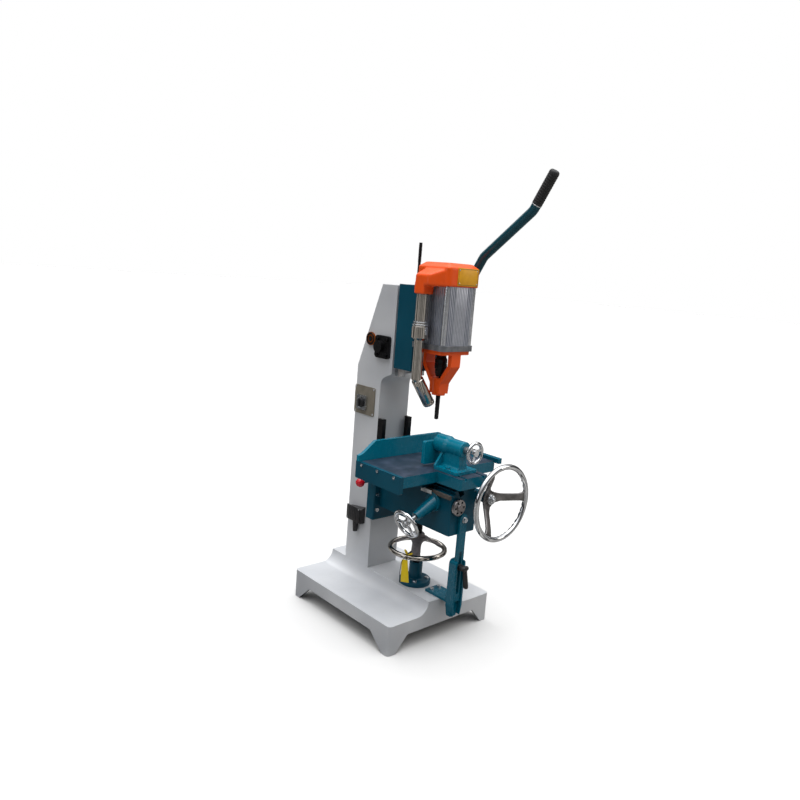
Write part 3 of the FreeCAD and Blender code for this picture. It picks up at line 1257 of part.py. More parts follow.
def traverse_bearing():
    """Bearing tube of the traverse shaft, bolted to the gear case."""
    back = GEAR_FRONT - CASE_GAP - CASE_PLATE
    tube = rod((TRAVERSE_X, BEARING_FRONT, TRAVERSE_Z), (0, 1, 0), BEARING_R, back - BEARING_FRONT)
    collar = rod((TRAVERSE_X, BEARING_FRONT, TRAVERSE_Z), (0, 1, 0), BEARING_R + 1, 9)
    tube = joined([tube, collar])
    return tube.cut(rod((TRAVERSE_X, BEARING_FRONT - 1, TRAVERSE_Z), (0, 1, 0),
                        TRAVERSE_SHAFT_R + RUN, 200))


def cross_shaft():
    """Small wheel's shaft with its pinion."""
    axis, normal = cross_axis()
    centre = cross_shaft_point(CROSS_PINION_X)
    wheel = gear(CROSS_MODULE, CROSS_TEETH, CROSS_FACE, 0)
    wheel.translate(vec(0, 0, -CROSS_FACE / 2))
    wheel.rotate(vec(0, 0, 0), vec(0, 1, 0), 90)
    # the tooth drawn on +X now points along -Z; turn it over to face the rack
    wheel.rotate(vec(0, 0, 0), vec(1, 0, 0), 180)
    wheel.rotate(vec(0, 0, 0), vec(0, 1, 0), -CROSS_TILT)
    wheel.translate(centre)
    length = CROSS_WHEEL_AT + (centre - cross_shaft_point(-KNEE_HALF)).Length + 10
    shaft = Part.makeCylinder(CROSS_SHAFT_R, length, centre, axis * -1)
    return joined([wheel, shaft])


def cross_wheel():
    axis, normal = cross_axis()
    wheel = hand_wheel(CROSS_WHEEL_R, CROSS_RIM_R, 0, 12, -8, 8, CROSS_SHAFT_R + SEAT, 30, CROSS_SPOKE)
    at = cross_shaft_point(-KNEE_HALF) - axis * CROSS_WHEEL_AT
    return aim(wheel, tuple(at), tuple(axis))


def cross_lock_knob():
    """Knurled disc with round holes on the knee's front."""
    knob = turned_profile([(0, 0), (9, 0), (9, 5), (KNOB_R, 5, 1), (KNOB_R, 15, 2), (11, 15),
                           (11, 19, 1.5), (0, 19)])
    for angle in range(0, 360, 60):
        x = KNOB_R * 0.68 * math.cos(math.radians(angle))
        y = KNOB_R * 0.68 * math.sin(math.radians(angle))
        knob = knob.cut(rod((x, y, 4), (0, 0, 1), 4, 12))
    return aim(knob, (KNOB_X, KNEE_FRONT - SLIP, KNOB_Z), (0, -1, 0))


def brace_lever():
    """Ratchet clamping lever on the brace stud, with its washer."""
    start = KNEE_FRONT - BRACE_THICK - SLIP
    washer = rod((BRACE_X, start, STUD_Z), (0, -1, 0), 11, 2)
    hub = cone((BRACE_X, start - 2, STUD_Z), (0, -1, 0), 11, 9, 26)
    arm_at = vec(BRACE_X, start - 22, STUD_Z)
    drop = vec(6, -14, -60)
    arm = Part.makeCone(6.5, 7.5, drop.Length, arm_at, drop)
    ball = Part.makeSphere(7.5, arm_at + drop)
    lever = joined([washer, hub, arm, ball])
    return lever.cut(rod((BRACE_X, KNEE_FRONT, STUD_Z), (0, -1, 0), STUD_R + RUN, BRACE_THICK + 15))


# ==== table

def table_casting():
    top, plate = TABLE_TOP, TABLE_TOP - TABLE_PLATE
    band = TABLE_TOP - TABLE_BAND
    left = -TABLE_HALF + APRON_THICK
    outline = [(left, TABLE_FRONT), (-WING_HALF, TABLE_FRONT), (-WING_HALF, WING_FRONT, 6),
               (WING_HALF, WING_FRONT, 6), (WING_HALF, TABLE_FRONT), (TABLE_HALF, TABLE_FRONT, 4),
               (TABLE_HALF, TABLE_BACK, 4), (left, TABLE_BACK)]
    body = prism("Z", outline, band, top)
    wall = TABLE_WALL
    cavity = block(left + wall, TABLE_HALF - wall, TABLE_FRONT + wall, TABLE_BACK - wall, 0, plate)
    wing_cavity = block(-WING_HALF + wall, WING_HALF - wall, WING_FRONT + wall, TABLE_FRONT + wall + 1,
                        0, plate)
    body = body.cut(cavity).cut(wing_cavity)
    rail_low = saddle_top() + SLIP
    way_top = saddle_way_top()
    rails = []
    gap = SLIP * 1.2
    slope = WAY_FLARE / (way_top - saddle_top())
    for edge, side, outer in ((CROSS_WAY_FRONT, -1, CROSS_FRONT + 4), (CROSS_WAY_BACK, 1, CROSS_BACK - 8)):
        at_low = edge - side * (WAY_FLARE - slope * SLIP) + side * gap
        at_top = edge + side * (gap + slope * (plate - way_top))
        rails.append(prism("X", [(outer, rail_low), (at_low, rail_low), (at_top, plate), (outer, plate)],
                           left + wall, TABLE_HALF - wall))
    rib = block(-40, TABLE_HALF - wall, GEAR_FRONT - 1, GEAR_BACK + 1, rack_top(), plate)
    slots = []
    for x in (-T_SLOT_X, T_SLOT_X):
        slots.append(block(x - T_SLOT_WIDTH / 2, x + T_SLOT_WIDTH / 2, WING_FRONT - 1, TABLE_FRONT + 20,
                           top - T_SLOT_DEPTH, top + 1))
    lip_left = TABLE_HALF - LIP_INSET
    lip_right = lip_left + LIP_WIDTH
    lip = prism("Z", [(lip_left, LIP_FRONT, 9), (lip_right, LIP_FRONT, 9), (lip_right, LIP_BACK),
                      (lip_left, LIP_BACK)], LIP_LOW, LIP_HIGH)
    lip_seat = block(lip_left - 0.001, lip_right + 1, TABLE_FRONT - 30, LIP_BACK, LIP_LOW, top + 1)
    body = joined([body.cut(lip_seat)] + rails + [rib, lip])
    return body.cut(Part.makeCompound(slots))


def rack_top():
    idler_x, idler_z = idler_centre()
    pitch_z = idler_z + TRAVERSE_MODULE * IDLER_TEETH / 2
    return pitch_z + TRAVERSE_MODULE * DEDENDUM + 6.0


def traverse_rack():
    """Rack under the table, with a tooth gap over the idler."""
    idler_x, idler_z = idler_centre()
    pitch_z = idler_z + TRAVERSE_MODULE * IDLER_TEETH / 2
    low = idler_x - TABLE_TRAVEL - 14
    high = min(idler_x + TABLE_TRAVEL + 14, TABLE_HALF - TABLE_WALL)
    bar = rack(TRAVERSE_MODULE, low, high, idler_x, (GEAR_BACK - GEAR_FRONT) / 2, 6.0)
    bar.rotate(vec(0, 0, 0), vec(1, 0, 0), 180)
    bar.translate(vec(0, (GEAR_BACK + GEAR_FRONT) / 2, pitch_z))
    return bar


def table_fence():
    back = FENCE_FACE + FENCE_THICK
    outline = [(-TABLE_HALF, TABLE_TOP), (TABLE_HALF, TABLE_TOP), (TABLE_HALF, FENCE_SHOULDER - 4),
               (TABLE_HALF - 8, FENCE_SHOULDER), (FENCE_TOP_HALF, FENCE_TOP, 10),
               (-FENCE_TOP_HALF, FENCE_TOP, 10), (-TABLE_HALF + 16, FENCE_SHOULDER),
               (-TABLE_HALF, FENCE_SHOULDER - 4)]
    return prism("Y", outline, FENCE_FACE, back)


def side_apron():
    outer = -TABLE_HALF
    inner = outer + APRON_THICK
    cut = APRON_CHAMFER
    outline = [(TABLE_FRONT, APRON_LOW + cut), (TABLE_FRONT + cut, APRON_LOW),
               (TABLE_BACK - cut, APRON_LOW), (TABLE_BACK, APRON_LOW + cut), (TABLE_BACK, TABLE_TOP),
               (TABLE_FRONT, TABLE_TOP)]
    return prism("X", outline, outer, inner)


def apron_screws():
    screws = []
    for y in (TABLE_BACK - 30, (TABLE_BACK + TABLE_FRONT) / 2, TABLE_FRONT + 30):
        screws.append(cylinder_head((-TABLE_HALF, y, TABLE_TOP - 8), (-1, 0, 0), 5, 3, 2.6))
    return group(screws)


def clamp_body():
    """Clamp housing on a web and a foot bolted to the table's wing."""
    back = JAW_FACE - JAW_THICK - SLIP
    length = back - CLAMP_BODY_FRONT
    barrel = turned_profile([(0, 0), (CLAMP_BODY_R, 0, 3), (CLAMP_BODY_R, length - CLAMP_REAR),
                             (CLAMP_REAR_R, length - CLAMP_REAR + 12), (CLAMP_REAR_R, length, 2),
                             (0, length)])
    barrel = aim(barrel, (0, CLAMP_BODY_FRONT, CLAMP_Z), (0, 1, 0))
    foot_back, foot_front = back - 28, CLAMP_BODY_FRONT - 14
    top = TABLE_TOP + CLAMP_FOOT
    half, wide = CLAMP_WEB_HALF, CLAMP_FOOT_HALF
    foot = prism("Z", rectangle(-wide, wide, foot_front, foot_back), TABLE_TOP, top, 6)
    flare = 10.0
    web = prism("Y", [(-half - flare, top - 1), (half + flare, top - 1), (half + flare, top),
                      (half, top, flare - 0.01), (half, CLAMP_Z), (-half, CLAMP_Z),
                      (-half, top, flare - 0.01), (-half - flare, top)],
                CLAMP_BODY_FRONT + 6, foot_back - 4)
    gusset = prism("Y", [(-wide, top - 1), (wide, top - 1), (wide, top + 2), (half, CLAMP_Z - 18),
                         (-half, CLAMP_Z - 18), (-wide, top + 2)], foot_back - 10, foot_back - 2)
    body = joined([barrel, foot, web, gusset])
    bore = rod((0, CLAMP_BODY_FRONT + 14, CLAMP_Z), (0, 1, 0), CLAMP_RAM_R + RUN, 300)
    screw_bore = rod((0, -BASE_DEPTH, CLAMP_Z), (0, 1, 0), CLAMP_SCREW_R + RUN, 300)
    pieces = [body.cut(bore).cut(screw_bore)]
    for x in (10 - wide, wide - 10):
        pieces.append(hex_bolt((x, foot_front + 45, top), (0, 0, 1), 8, 7))
    return group(pieces)


def clamp_ram():
    """Jaw plate on a round ram that holds the screw's nut."""
    back = JAW_FACE - JAW_THICK
    plate = prism("Y", [(-JAW_HALF, JAW_LOW, 3), (JAW_HALF, JAW_LOW, 3), (JAW_HALF, JAW_HIGH, 6),
                        (-JAW_HALF, JAW_HIGH, 6)], back, JAW_FACE)
    ram_front = CLAMP_BODY_FRONT + 14 + 2
    ram = rod((0, ram_front, CLAMP_Z), (0, 1, 0), CLAMP_RAM_R, back - ram_front + 1)
    boss = rod((0, back, CLAMP_Z), (0, 1, 0), CLAMP_RAM_R, JAW_THICK * 0.5)
    body = joined([plate, ram, boss])
    return body.cut(rod((0, ram_front - 1, CLAMP_Z), (0, 1, 0), CLAMP_SCREW_R + RUN,
                        back - ram_front - 6))


def clamp_screw():
    end = JAW_FACE - JAW_THICK - 12
    screw = rod((0, CLAMP_WHEEL_Y - 4, CLAMP_Z), (0, 1, 0), CLAMP_SCREW_R, end - CLAMP_WHEEL_Y + 4)
    collar = rod((0, CLAMP_BODY_FRONT - SLIP, CLAMP_Z), (0, -1, 0), CLAMP_SCREW_R + 5, 18)
    return joined([screw, collar])


def clamp_wheel():
    wheel = hand_wheel(CLAMP_WHEEL_R, 5.5, 0, 12, -7, 7, CLAMP_SCREW_R + SEAT, 20, CLAMP_SPOKE)
    return aim(wheel, (0, CLAMP_WHEEL_Y, CLAMP_Z), (0, 1, 0))


# ==== traverse drive

def stand_along_y(shape):
    """Turns a gear drawn about Z so that it lies about Y, with its +X tooth still on +X."""
    shape.rotate(vec(0, 0, 0), vec(1, 0, 0), -90)
    return shape


def idler_gear():
    x, z = idler_centre()
    wheel = stand_along_y(gear(TRAVERSE_MODULE, IDLER_TEETH, GEAR_BACK - GEAR_FRONT, 0))
    wheel.rotate(vec(0, 0, 0), vec(0, 1, 0), -90)
    wheel.translate(vec(x, GEAR_FRONT, z))
    pin = rod((x, GEAR_FRONT - 12 + SLIP, z), (0, 1, 0), IDLER_PIN_R,
              GEAR_BACK - GEAR_FRONT + 24 - 2 * SLIP)
    return joined([wheel, pin])


def traverse_shaft():
    """Hand-wheel shaft with the pinion whose gap takes the idler's tooth."""
    idler_x, idler_z = idler_centre()
    bearing = math.degrees(math.atan2(idler_z - TRAVERSE_Z, idler_x - TRAVERSE_X))
    idler_step = 360 / IDLER_TEETH
    late = (bearing + 180 - 90) % idler_step
    if late > idler_step / 2:
        late -= idler_step
    gap_at = bearing + late * IDLER_TEETH / PINION_TEETH
    tooth_at = gap_at + 180 / PINION_TEETH
    wheel = stand_along_y(gear(TRAVERSE_MODULE, PINION_TEETH, GEAR_BACK - GEAR_FRONT, 0))
    wheel.rotate(vec(0, 0, 0), vec(0, 1, 0), -tooth_at)
    wheel.translate(vec(TRAVERSE_X, GEAR_FRONT, TRAVERSE_Z))
    back = GEAR_BACK + CASE_GAP + CASE_PLATE
    front = BIG_HUB_FRONT - 12
    shaft = rod((TRAVERSE_X, front, TRAVERSE_Z), (0, 1, 0), TRAVERSE_SHAFT_R, back - front)
    nut = aim(hexagon(13, 0, 8), (TRAVERSE_X, BIG_HUB_FRONT, TRAVERSE_Z), (0, -1, 0))
    return joined([wheel, shaft, nut])


def traverse_wheel():
    wheel = hand_wheel(BIG_WHEEL_R, BIG_RIM_R, BIG_HUB_FRONT - BIG_WHEEL_Y, BIG_HUB_R,
                       BIG_HUB_FRONT - BIG_HUB_BACK, 0, TRAVERSE_SHAFT_R + SEAT, 0, BIG_SPOKE)
    wheel = wheel.cut(rod((0, 0, 0), (0, 0, 1), BIG_HUB_R - 3, 20))
    wheel.rotate(vec(0, 0, 0), vec(1, 0, 0), 90)
    wheel.rotate(vec(0, 0, 0), vec(0, 1, 0), -BIG_SPOKE_TURN)
    wheel.translate(vec(TRAVERSE_X, BIG_HUB_FRONT, TRAVERSE_Z))
    return wheel


# ==== pull lock on the knee

def lock_plunger():
    end = BALL_X - BALL_R / 3
    stem = rod((end + SEAT, BALL_Y, BALL_Z), (1, 0, 0), PLUNGER_R, -COLUMN_HALF - SLIP - end - 1)
    collar = rod((-KNEE_BLOCK_HALF - 14, BALL_Y, BALL_Z), (1, 0, 0), PLUNGER_R + 3, 14 - SLIP)
    return joined([stem, collar])


def lock_ball():
    ball = Part.makeSphere(BALL_R, vec(BALL_X, BALL_Y, BALL_Z))
    return ball.cut(rod((BALL_X - BALL_R / 3, BALL_Y, BALL_Z), (1, 0, 0), PLUNGER_R + SEAT, 2 * BALL_R))


NODES = {
    "base_casting": base_casting,
    "column_casting": column_casting,
    "guide_rails": guide_rails,
    "head_ways": head_ways,
    "screw_pedestal": screw_pedestal,
    "base_bolts": base_bolts,
    "switch_plate": switch_plate,
    "switch_bezel": switch_bezel,
    "inlet_box": inlet_box,
    "shaft_flange_left": lambda: shaft_flange(-1),
    "shaft_flange_right": lambda: shaft_flange(1),
    "bronze_cap": bronze_cap,
    "brace_channel": brace_channel,
    "head_slide": head_slide,
    "feed_rack": feed_rack,
    "motor_housing": motor_housing,
    "motor_base_plate": motor_base_plate,
    "motor_cap": motor_cap,
    "duct_upper": duct_upper,
    "duct_coupling": duct_coupling,
    "duct_lower": duct_lower,
    "chisel_yoke": chisel_yoke,
    "hollow_chisel": hollow_chisel,
    "depth_rod": depth_rod,
    "motor_rotor": motor_rotor,
    "cooling_fan": cooling_fan,
    "drill_chuck": drill_chuck,
    "auger_bit": auger_bit,
    "pinion_shaft": pinion_shaft,
    "feed_lever": feed_lever,
    "lever_grip": lever_grip,
    "knee_casting": knee_casting,
    "way_strip": way_strip,
    "cross_feed_housing": cross_feed_housing,
    "brace_bar": brace_bar,
    "knee_bolts": knee_bolts,
    "elevating_screw": elevating_screw,
    "elevating_wheel": elevating_wheel,
    "cross_slide": cross_slide,
    "cross_rack": cross_rack,
    "traverse_bearing": traverse_bearing,
    "cross_shaft": cross_shaft,
    "cross_wheel": cross_wheel,
    "table_casting": table_casting,
    "table_fence": table_fence,
    "side_apron": side_apron,
    "apron_screws": apron_screws,
    "traverse_rack": traverse_rack,
    "clamp_body": clamp_body,
    "clamp_ram": clamp_ram,
    "clamp_screw": clamp_screw,
    "clamp_wheel": clamp_wheel,
    "idler_gear": idler_gear,
    "traverse_shaft": traverse_shaft,
    "traverse_wheel": traverse_wheel,
    "lock_plunger": lock_plunger,
    "lock_ball": lock_ball,
    "cross_lock_knob": cross_lock_knob,
    "brace_lever": brace_lever,
    "switch_knob": switch_knob,
}


def main():
    os.makedirs("parts", exist_ok=True)
    shapes = {name: make() for name, make in NODES.items()}
    back_reach = BASE_DEPTH / 2
    front_reach = shapes["lever_grip"].BoundBox.YMin
    shift = -(back_reach + front_reach) / 2
    print("shift along Y", round(shift, 4))
    for name, shape in shapes.items():
        solids = shape.Solids
        if not shape.isValid() or not solids:
            print("NOT VALID", name)
        shape.translate(vec(0, shift, 0))
        shape.exportStep("parts/" + name + ".step")
        box = shape.BoundBox
        print(name, len(solids), [round(v, 1) for v in (box.XMin, box.XMax, box.YMin, box.YMax,
                                                         box.ZMin, box.ZMax)])


main()
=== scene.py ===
# %% [markdown]
# # A pedestal hollow-chisel mortiser
# This notebook dresses a woodworking machine: a floor-standing mortiser that drills square holes. The CAD
# frame gives every main solid at its real size. Here each surface gets its paint, plating or machining marks,
# and the pieces that the eye rests on, such as hand wheels, screw threads and switches, are modelled in
# detail. Everything is in metres. The machine's front faces -Y.

# %% Load the frame
import bmesh
import bpy
import math
from mathutils import Matrix, Vector


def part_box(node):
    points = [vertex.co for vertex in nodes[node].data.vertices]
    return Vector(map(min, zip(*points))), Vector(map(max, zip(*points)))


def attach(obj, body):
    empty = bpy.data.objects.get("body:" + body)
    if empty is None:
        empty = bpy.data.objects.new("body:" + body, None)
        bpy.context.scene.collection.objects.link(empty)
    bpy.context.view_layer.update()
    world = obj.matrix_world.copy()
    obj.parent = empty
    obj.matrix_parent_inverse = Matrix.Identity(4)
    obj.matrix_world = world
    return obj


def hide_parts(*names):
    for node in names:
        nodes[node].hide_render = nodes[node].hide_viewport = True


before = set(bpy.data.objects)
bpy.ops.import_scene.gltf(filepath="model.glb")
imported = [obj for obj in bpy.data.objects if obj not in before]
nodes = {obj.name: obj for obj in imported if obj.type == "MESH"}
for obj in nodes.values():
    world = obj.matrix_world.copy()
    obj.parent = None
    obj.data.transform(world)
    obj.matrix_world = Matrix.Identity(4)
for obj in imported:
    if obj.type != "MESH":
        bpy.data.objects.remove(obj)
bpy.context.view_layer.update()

# %% [markdown]
# The machine's drawing counts millimetres from the middle of the base, on the floor. The frame's own origin
# lies under the middle of the whole machine, lever included. One small function turns a place on the drawing
# into a place in the frame, so that the numbers below are the ones a machinist would read off the drawing.

# %% From the drawing to the frame
MM = 0.001
base_low, base_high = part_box("base_casting")
SHIFT = (base_low.y + base_high.y) / 2


def at(x, y, z):
    """A place on the drawing, in millimetres from the base's middle, as a place in the frame."""
    return Vector((x * MM, y * MM + SHIFT, z * MM))


print("the base's middle is at Y", round(SHIFT, 4))

# %% [markdown]
# The camera stands to the left of the operator at chest height and leans a little, as a hand-held camera
# does. Its three directions are worked out from the angles, which is safer than guessing Euler angles.

# %% Camera
CAMERA_ANGLES = (-42.382, 10.141, 4.397)
CAMERA_PLACE = (-1590.209, -1719.414, 1153.814)
LENS = 32.214
SENSOR = 36
turn, tilt, lean = (math.radians(angle) for angle in CAMERA_ANGLES)
back = Vector((math.sin(turn) * math.cos(tilt), -math.cos(turn) * math.cos(tilt), math.sin(tilt)))
level = Vector((math.cos(turn), math.sin(turn), 0))
upright = back.cross(level)
right = math.cos(lean) * level + math.sin(lean) * upright
top = math.cos(lean) * upright - math.sin(lean) * level
bpy.ops.object.camera_add()
camera = bpy.context.object
camera.name = "camera"
camera_axes = Matrix((right, top, back)).transposed().to_4x4()
camera.matrix_world = Matrix.Translation(at(*CAMERA_PLACE)) @ camera_axes
camera.data.lens = LENS
camera.data.sensor_width = SENSOR
bpy.context.scene.camera = camera
print("camera at", [round(v, 2) for v in camera.location])

# %% [markdown]
# The light is that of a bright workshop: a wide soft sky overhead makes the upward faces pale, and the sides
# stay in gentle shade. The sky is a gradient, strong at the zenith and dim at the horizon, so that the floor
# is lit evenly however far it runs and chrome has something dark to mirror. Weak panels draw long highlights
# on the plated rims. To the camera the sky is plain white.

# %% Light panels
# Each panel has its place and side in metres, its power in watts and its tint.
PANELS = {
    "overhead": ((-0.5, -0.4, 3.6), 2.0, 12, "#FFFFFF"),
    "front_right": ((2.6, -2.4, 2.0), 1.0, 12, "#FFF8F0"),
    "left": ((-3.0, 0.4, 1.5), 0.8, 6, "#FBFBFF"),
    "behind": ((0.6, 3.0, 2.4), 1.2, 10, "#FFFFFF"),
}
AIM = at(0, -60, 620)


def linear(code):
    """The linear colour of an sRGB hex value."""
    parts = [int(code[i:i + 2], 16) / 255 for i in (1, 3, 5)]
    return (*[p / 12.92 if p <= 0.04045 else ((p + 0.055) / 1.055) ** 2.4 for p in parts], 1.0)


for title, (place, size, watts, tint) in PANELS.items():
    bpy.ops.object.light_add(type="AREA", location=place)
    panel = bpy.context.object
    panel.name = "light_" + title
    panel.data.size = size
    panel.data.energy = watts
    panel.data.color = linear(tint)[:3]
    panel.rotation_euler = (Vector(place) - AIM).to_track_quat("Z", "Y").to_euler()
bpy.context.scene.view_settings.view_transform = "Standard"
print(len(PANELS), "light panels")

# %% [markdown]
# ## Finishes
# A painted machine is mostly paint, so paint carries the look. Each finish is a node tree on the Principled
# shader. One function adds a node, sets it and links it. The short ones after it stand for the nodes that
# every finish uses: arithmetic, a range, a mix of two colours, a noise, scratches, rounded edges and relief.

# %% Node helpers
def add_node(material, kind, settings=None, **inputs):
    """Adds a node. Settings are its own choices; inputs are numbers, colours or other nodes' outputs."""
    tree = material.node_tree
    node = tree.nodes.new(kind)
    for title, value in (settings or {}).items():
        setattr(node, title, value)
    for title, value in inputs.items():
        key = int(title[1:]) if title[0] == "_" else title.replace("_", " ")
        if isinstance(value, bpy.types.NodeSocket):
            tree.links.new(value, node.inputs[key])
        else:
            node.inputs[key].default_value = value
    return node


def arithmetic(material, operation, *values):
    """The result of one operation on numbers or other nodes' outputs."""
    inputs = {f"_{i}": value for i, value in enumerate(values)}
    return add_node(material, "ShaderNodeMath", {"operation": operation}, **inputs).outputs[0]


def ranged(material, value, low=0.0, high=1.0, to_low=0.0, to_high=1.0):
    """Carries a value from one range over to another."""
    node = add_node(material, "ShaderNodeMapRange", Value=value, From_Min=low, From_Max=high,
                    To_Min=to_low, To_Max=to_high)
    return node.outputs["Result"]


def blend(material, amount, first, second):
    """Mixes two colours, each a hex value or another node's output."""
    first, second = (linear(c) if isinstance(c, str) else c for c in (first, second))
    node = add_node(material, "ShaderNodeMix", {"data_type": "RGBA"}, _0=amount, _6=first, _7=second)
    return node.outputs[2]


def object_place(material):
    """Where the shaded point lies on its object, in metres."""
    return add_node(material, "ShaderNodeTexCoord").outputs["Object"]


def per_metre(size_mm):
    """The scale of a noise whose features are this many millimetres across."""
    return 1000 / size_mm


def noise(material, place, size_mm, **inputs):
    """A noise whose features are this many millimetres across."""
    scale = per_metre(size_mm)
    return add_node(material, "ShaderNodeTexNoise", Vector=place, Scale=scale, **inputs).outputs["Fac"]


def scratches(material, place, grain, detail):
    """A noise drawn out to grain millimetres along X, Y and Z."""
    sized = add_node(material, "ShaderNodeMapping", Vector=place, Scale=[per_metre(g) for g in grain])
    lines = add_node(material, "ShaderNodeTexNoise", Vector=sized.outputs["Vector"], Scale=1.0, Detail=detail)
    return lines.outputs["Fac"]


def rounded_edges(material, radius_mm, samples=4):
    """A normal that rounds each edge."""
    node = add_node(material, "ShaderNodeBevel", {"samples": samples}, Radius=radius_mm * MM)
    return node.outputs["Normal"]


def relief(material, height, depth_mm, strength, **normal):
    """A normal raised by a height."""
    node = add_node(material, "ShaderNodeBump", Height=height, Distance=depth_mm * MM, Strength=strength,
                    **normal)
    return node.outputs["Normal"]


def new_finish(title, **inputs):
    """A material and its Principled shader, with the inputs that are the same all over set on the shader."""
    material = bpy.data.materials.new(title)
    material.use_nodes = True
    shader = material.node_tree.nodes["Principled BSDF"]
    for name, value in inputs.items():
        shader.inputs[name.replace("_", " ")].default_value = value
    return material, shader


def wire(material, shader, **outputs):
    """Links other nodes' outputs to the shader's inputs and returns the material."""
    for name, output in outputs.items():
        material.node_tree.links.new(output, shader.inputs[name.replace("_", " ")])
    return material


print("node helpers ready")

# %% Sky
HORIZON_LIGHT = 0.05
ZENITH_LIGHT = 4.1
ZENITH_FOCUS = 3.5
SKY_SEEN = 1.0
world = bpy.data.worlds.new("studio")
bpy.context.scene.world = world
world.use_nodes = True
sky = world.node_tree.nodes["Background"]
sky.inputs["Color"].default_value = linear("#FFFFFF")
toward = add_node(world, "ShaderNodeTexCoord").outputs["Generated"]
height = add_node(world, "ShaderNodeSeparateXYZ", Vector=toward).outputs["Z"]
glow = arithmetic(world, "POWER", arithmetic(world, "MAXIMUM", height, 0.0), ZENITH_FOCUS)
strength = arithmetic(world, "MULTIPLY_ADD", glow, ZENITH_LIGHT, HORIZON_LIGHT)
rays = add_node(world, "ShaderNodeLightPath").outputs["Is Camera Ray"]
seen = add_node(world, "ShaderNodeMix", {"data_type": "FLOAT"}, _0=rays, _2=strength, _3=SKY_SEEN)
world.node_tree.links.new(seen.outputs[0], sky.inputs["Strength"])
print("sky from", HORIZON_LIGHT, "to", HORIZON_LIGHT + ZENITH_LIGHT)

# %% [markdown]
# Enamel on cast iron: the casting is filled and sanded, then sprayed with gloss alkyd. The film is thick
# enough to show orange peel about 2 mm across, it gathers dust in soft cloudy patches, and it chips along
# sharp edges down to the pale filler underneath. The Bevel node feels for edges, so the chips fall where
# hands and timber strike. It also rounds each edge by the paint's own radius, which catches a thin line of
# light.

# %% Enamel
CLOUD_SIZE, DUST_SIZE, CHIP_SIZE, LUMP_SIZE, PEEL_SIZE = 170, 22, 7, 45, 2.4
PAINT_RADIUS = 1.4
LUMP_SHARE = 6.0


def enamel(title, paint, shade, rough, chips, dusty, chip="#D9D6CC", dust="#B9B5AA", coat=0.12, shine=0.25):
    """Gloss enamel on a casting: cloudy colour, orange peel, dust and chipped edges."""
    material, shader = new_finish(title, Coat_Weight=coat, Coat_Roughness=0.12, Specular_IOR_Level=shine)
    place = object_place(material)
    body = blend(material, noise(material, place, CLOUD_SIZE, Detail=1.5), shade, paint)
    film = noise(material, place, DUST_SIZE, Detail=6.0, Roughness=0.7)
    dusted = blend(material, ranged(material, film, 0.48, 0.8, 0.0, dusty), body, dust)
    rounded = rounded_edges(material, PAINT_RADIUS, samples=6)
    flat = add_node(material, "ShaderNodeNewGeometry").outputs["Normal"]
    facing = add_node(material, "ShaderNodeVectorMath", {"operation": "DOT_PRODUCT"}, _0=rounded, _1=flat)
    edge = arithmetic(material, "SUBTRACT", 1.0, facing.outputs["Value"])
    grain = noise(material, place, CHIP_SIZE, Detail=5.0, Roughness=0.75)
    struck = ranged(material, arithmetic(material, "MULTIPLY", edge, grain), 0.0525 / chips, 0.0625 / chips)
    colour = blend(material, struck, dusted, chip)
    gloss = ranged(material, film, 0.35, 0.75, rough, rough + 0.2)
    lump = noise(material, place, LUMP_SIZE, Detail=2.0)
    peel = noise(material, place, PEEL_SIZE, Detail=2.0)
    skin = arithmetic(material, "MULTIPLY_ADD", lump, LUMP_SHARE, peel)
    return wire(material, shader, Base_Color=colour, Roughness=gloss,
                Normal=relief(material, skin, 0.4, 0.14, Normal=rounded))


# The next enamel is the same teal paint made darker: painted shade for the table's sides, the cross-feed
# housing and the brace, which stand under the table.
PAINTED_SHADE_TEAL = {"paint": "#00657E", "shade": "#005266", "rough": 0.18, "dust": "#1E7488", "dusty": 0.015}
white_enamel = enamel("white_gloss_enamel", "#DADCDF", "#ABAFB6", 0.34, chips=0.1, dusty=0.1, chip="#8F8B82",
                      coat=0.2, shine=0.4)
teal_enamel = enamel("teal_gloss_enamel", "#007F99", "#006A82", 0.18, chips=0.12, dusty=0.015, dust="#2C8CA4")
shade_painted_teal_enamel = enamel("shade_painted_teal_enamel", chips=0.12, **PAINTED_SHADE_TEAL)
green_enamel = enamel("green_black_enamel", "#044A5A", "#033A46", 0.26, chips=0.05, dusty=0.02, dust="#1F5A62")
# Painted shade: the teal paint made darker still for the knee, the slides, the pedestal and the apron, where
# deeper shade falls.
deep_shade_painted_teal_enamel = enamel("teal_enamel_in_deep_painted_shade", "#005066", "#003B4E", 0.3, chips=0.1, dusty=0.02, dust="#16505E",
                      coat=0.06, shine=0.18)
orange_enamel = enamel("orange_gloss_enamel", "#FC5E18", "#F05010", 0.3, chips=0.1, dusty=0.03,
                       chip="#E8B79A", coat=0.15)
enamels = (white_enamel, teal_enamel, green_enamel, deep_shade_painted_teal_enamel, orange_enamel)
print("enamels:", [material.name for material in enamels])

# %% [markdown]
# Bare metal differs by how it was cut or coated. Chrome plate over a polished casting mirrors the room with a
# faint waviness. Ground steel shows fine parallel scratches. Black oxide is steel with a thin dark skin.
# Metals keep the shader's own IOR; only colour, roughness and relief change.

# %% Metals
STAIN_SIZE = 18


def metal(title, tint, deep, rough, spread, grain, depth, weight=1.0):
    """A metal whose scratches are grain millimetres apart along X, Y and Z."""
    material, shader = new_finish(title, Metallic=weight)
    place = object_place(material)
    lines = scratches(material, place, grain, 3.0)
    stain = noise(material, place, STAIN_SIZE, Detail=5.0)
    colour = blend(material, ranged(material, stain, 0.35, 0.7), tint, deep)
    both = arithmetic(material, "MULTIPLY", lines, stain)
    gloss = ranged(material, both, 0.15, 0.4, rough, rough + spread)
    return wire(material, shader, Base_Color=colour, Roughness=gloss,
                Normal=relief(material, lines, 0.05, depth * 10, Normal=rounded_edges(material, 0.5)))


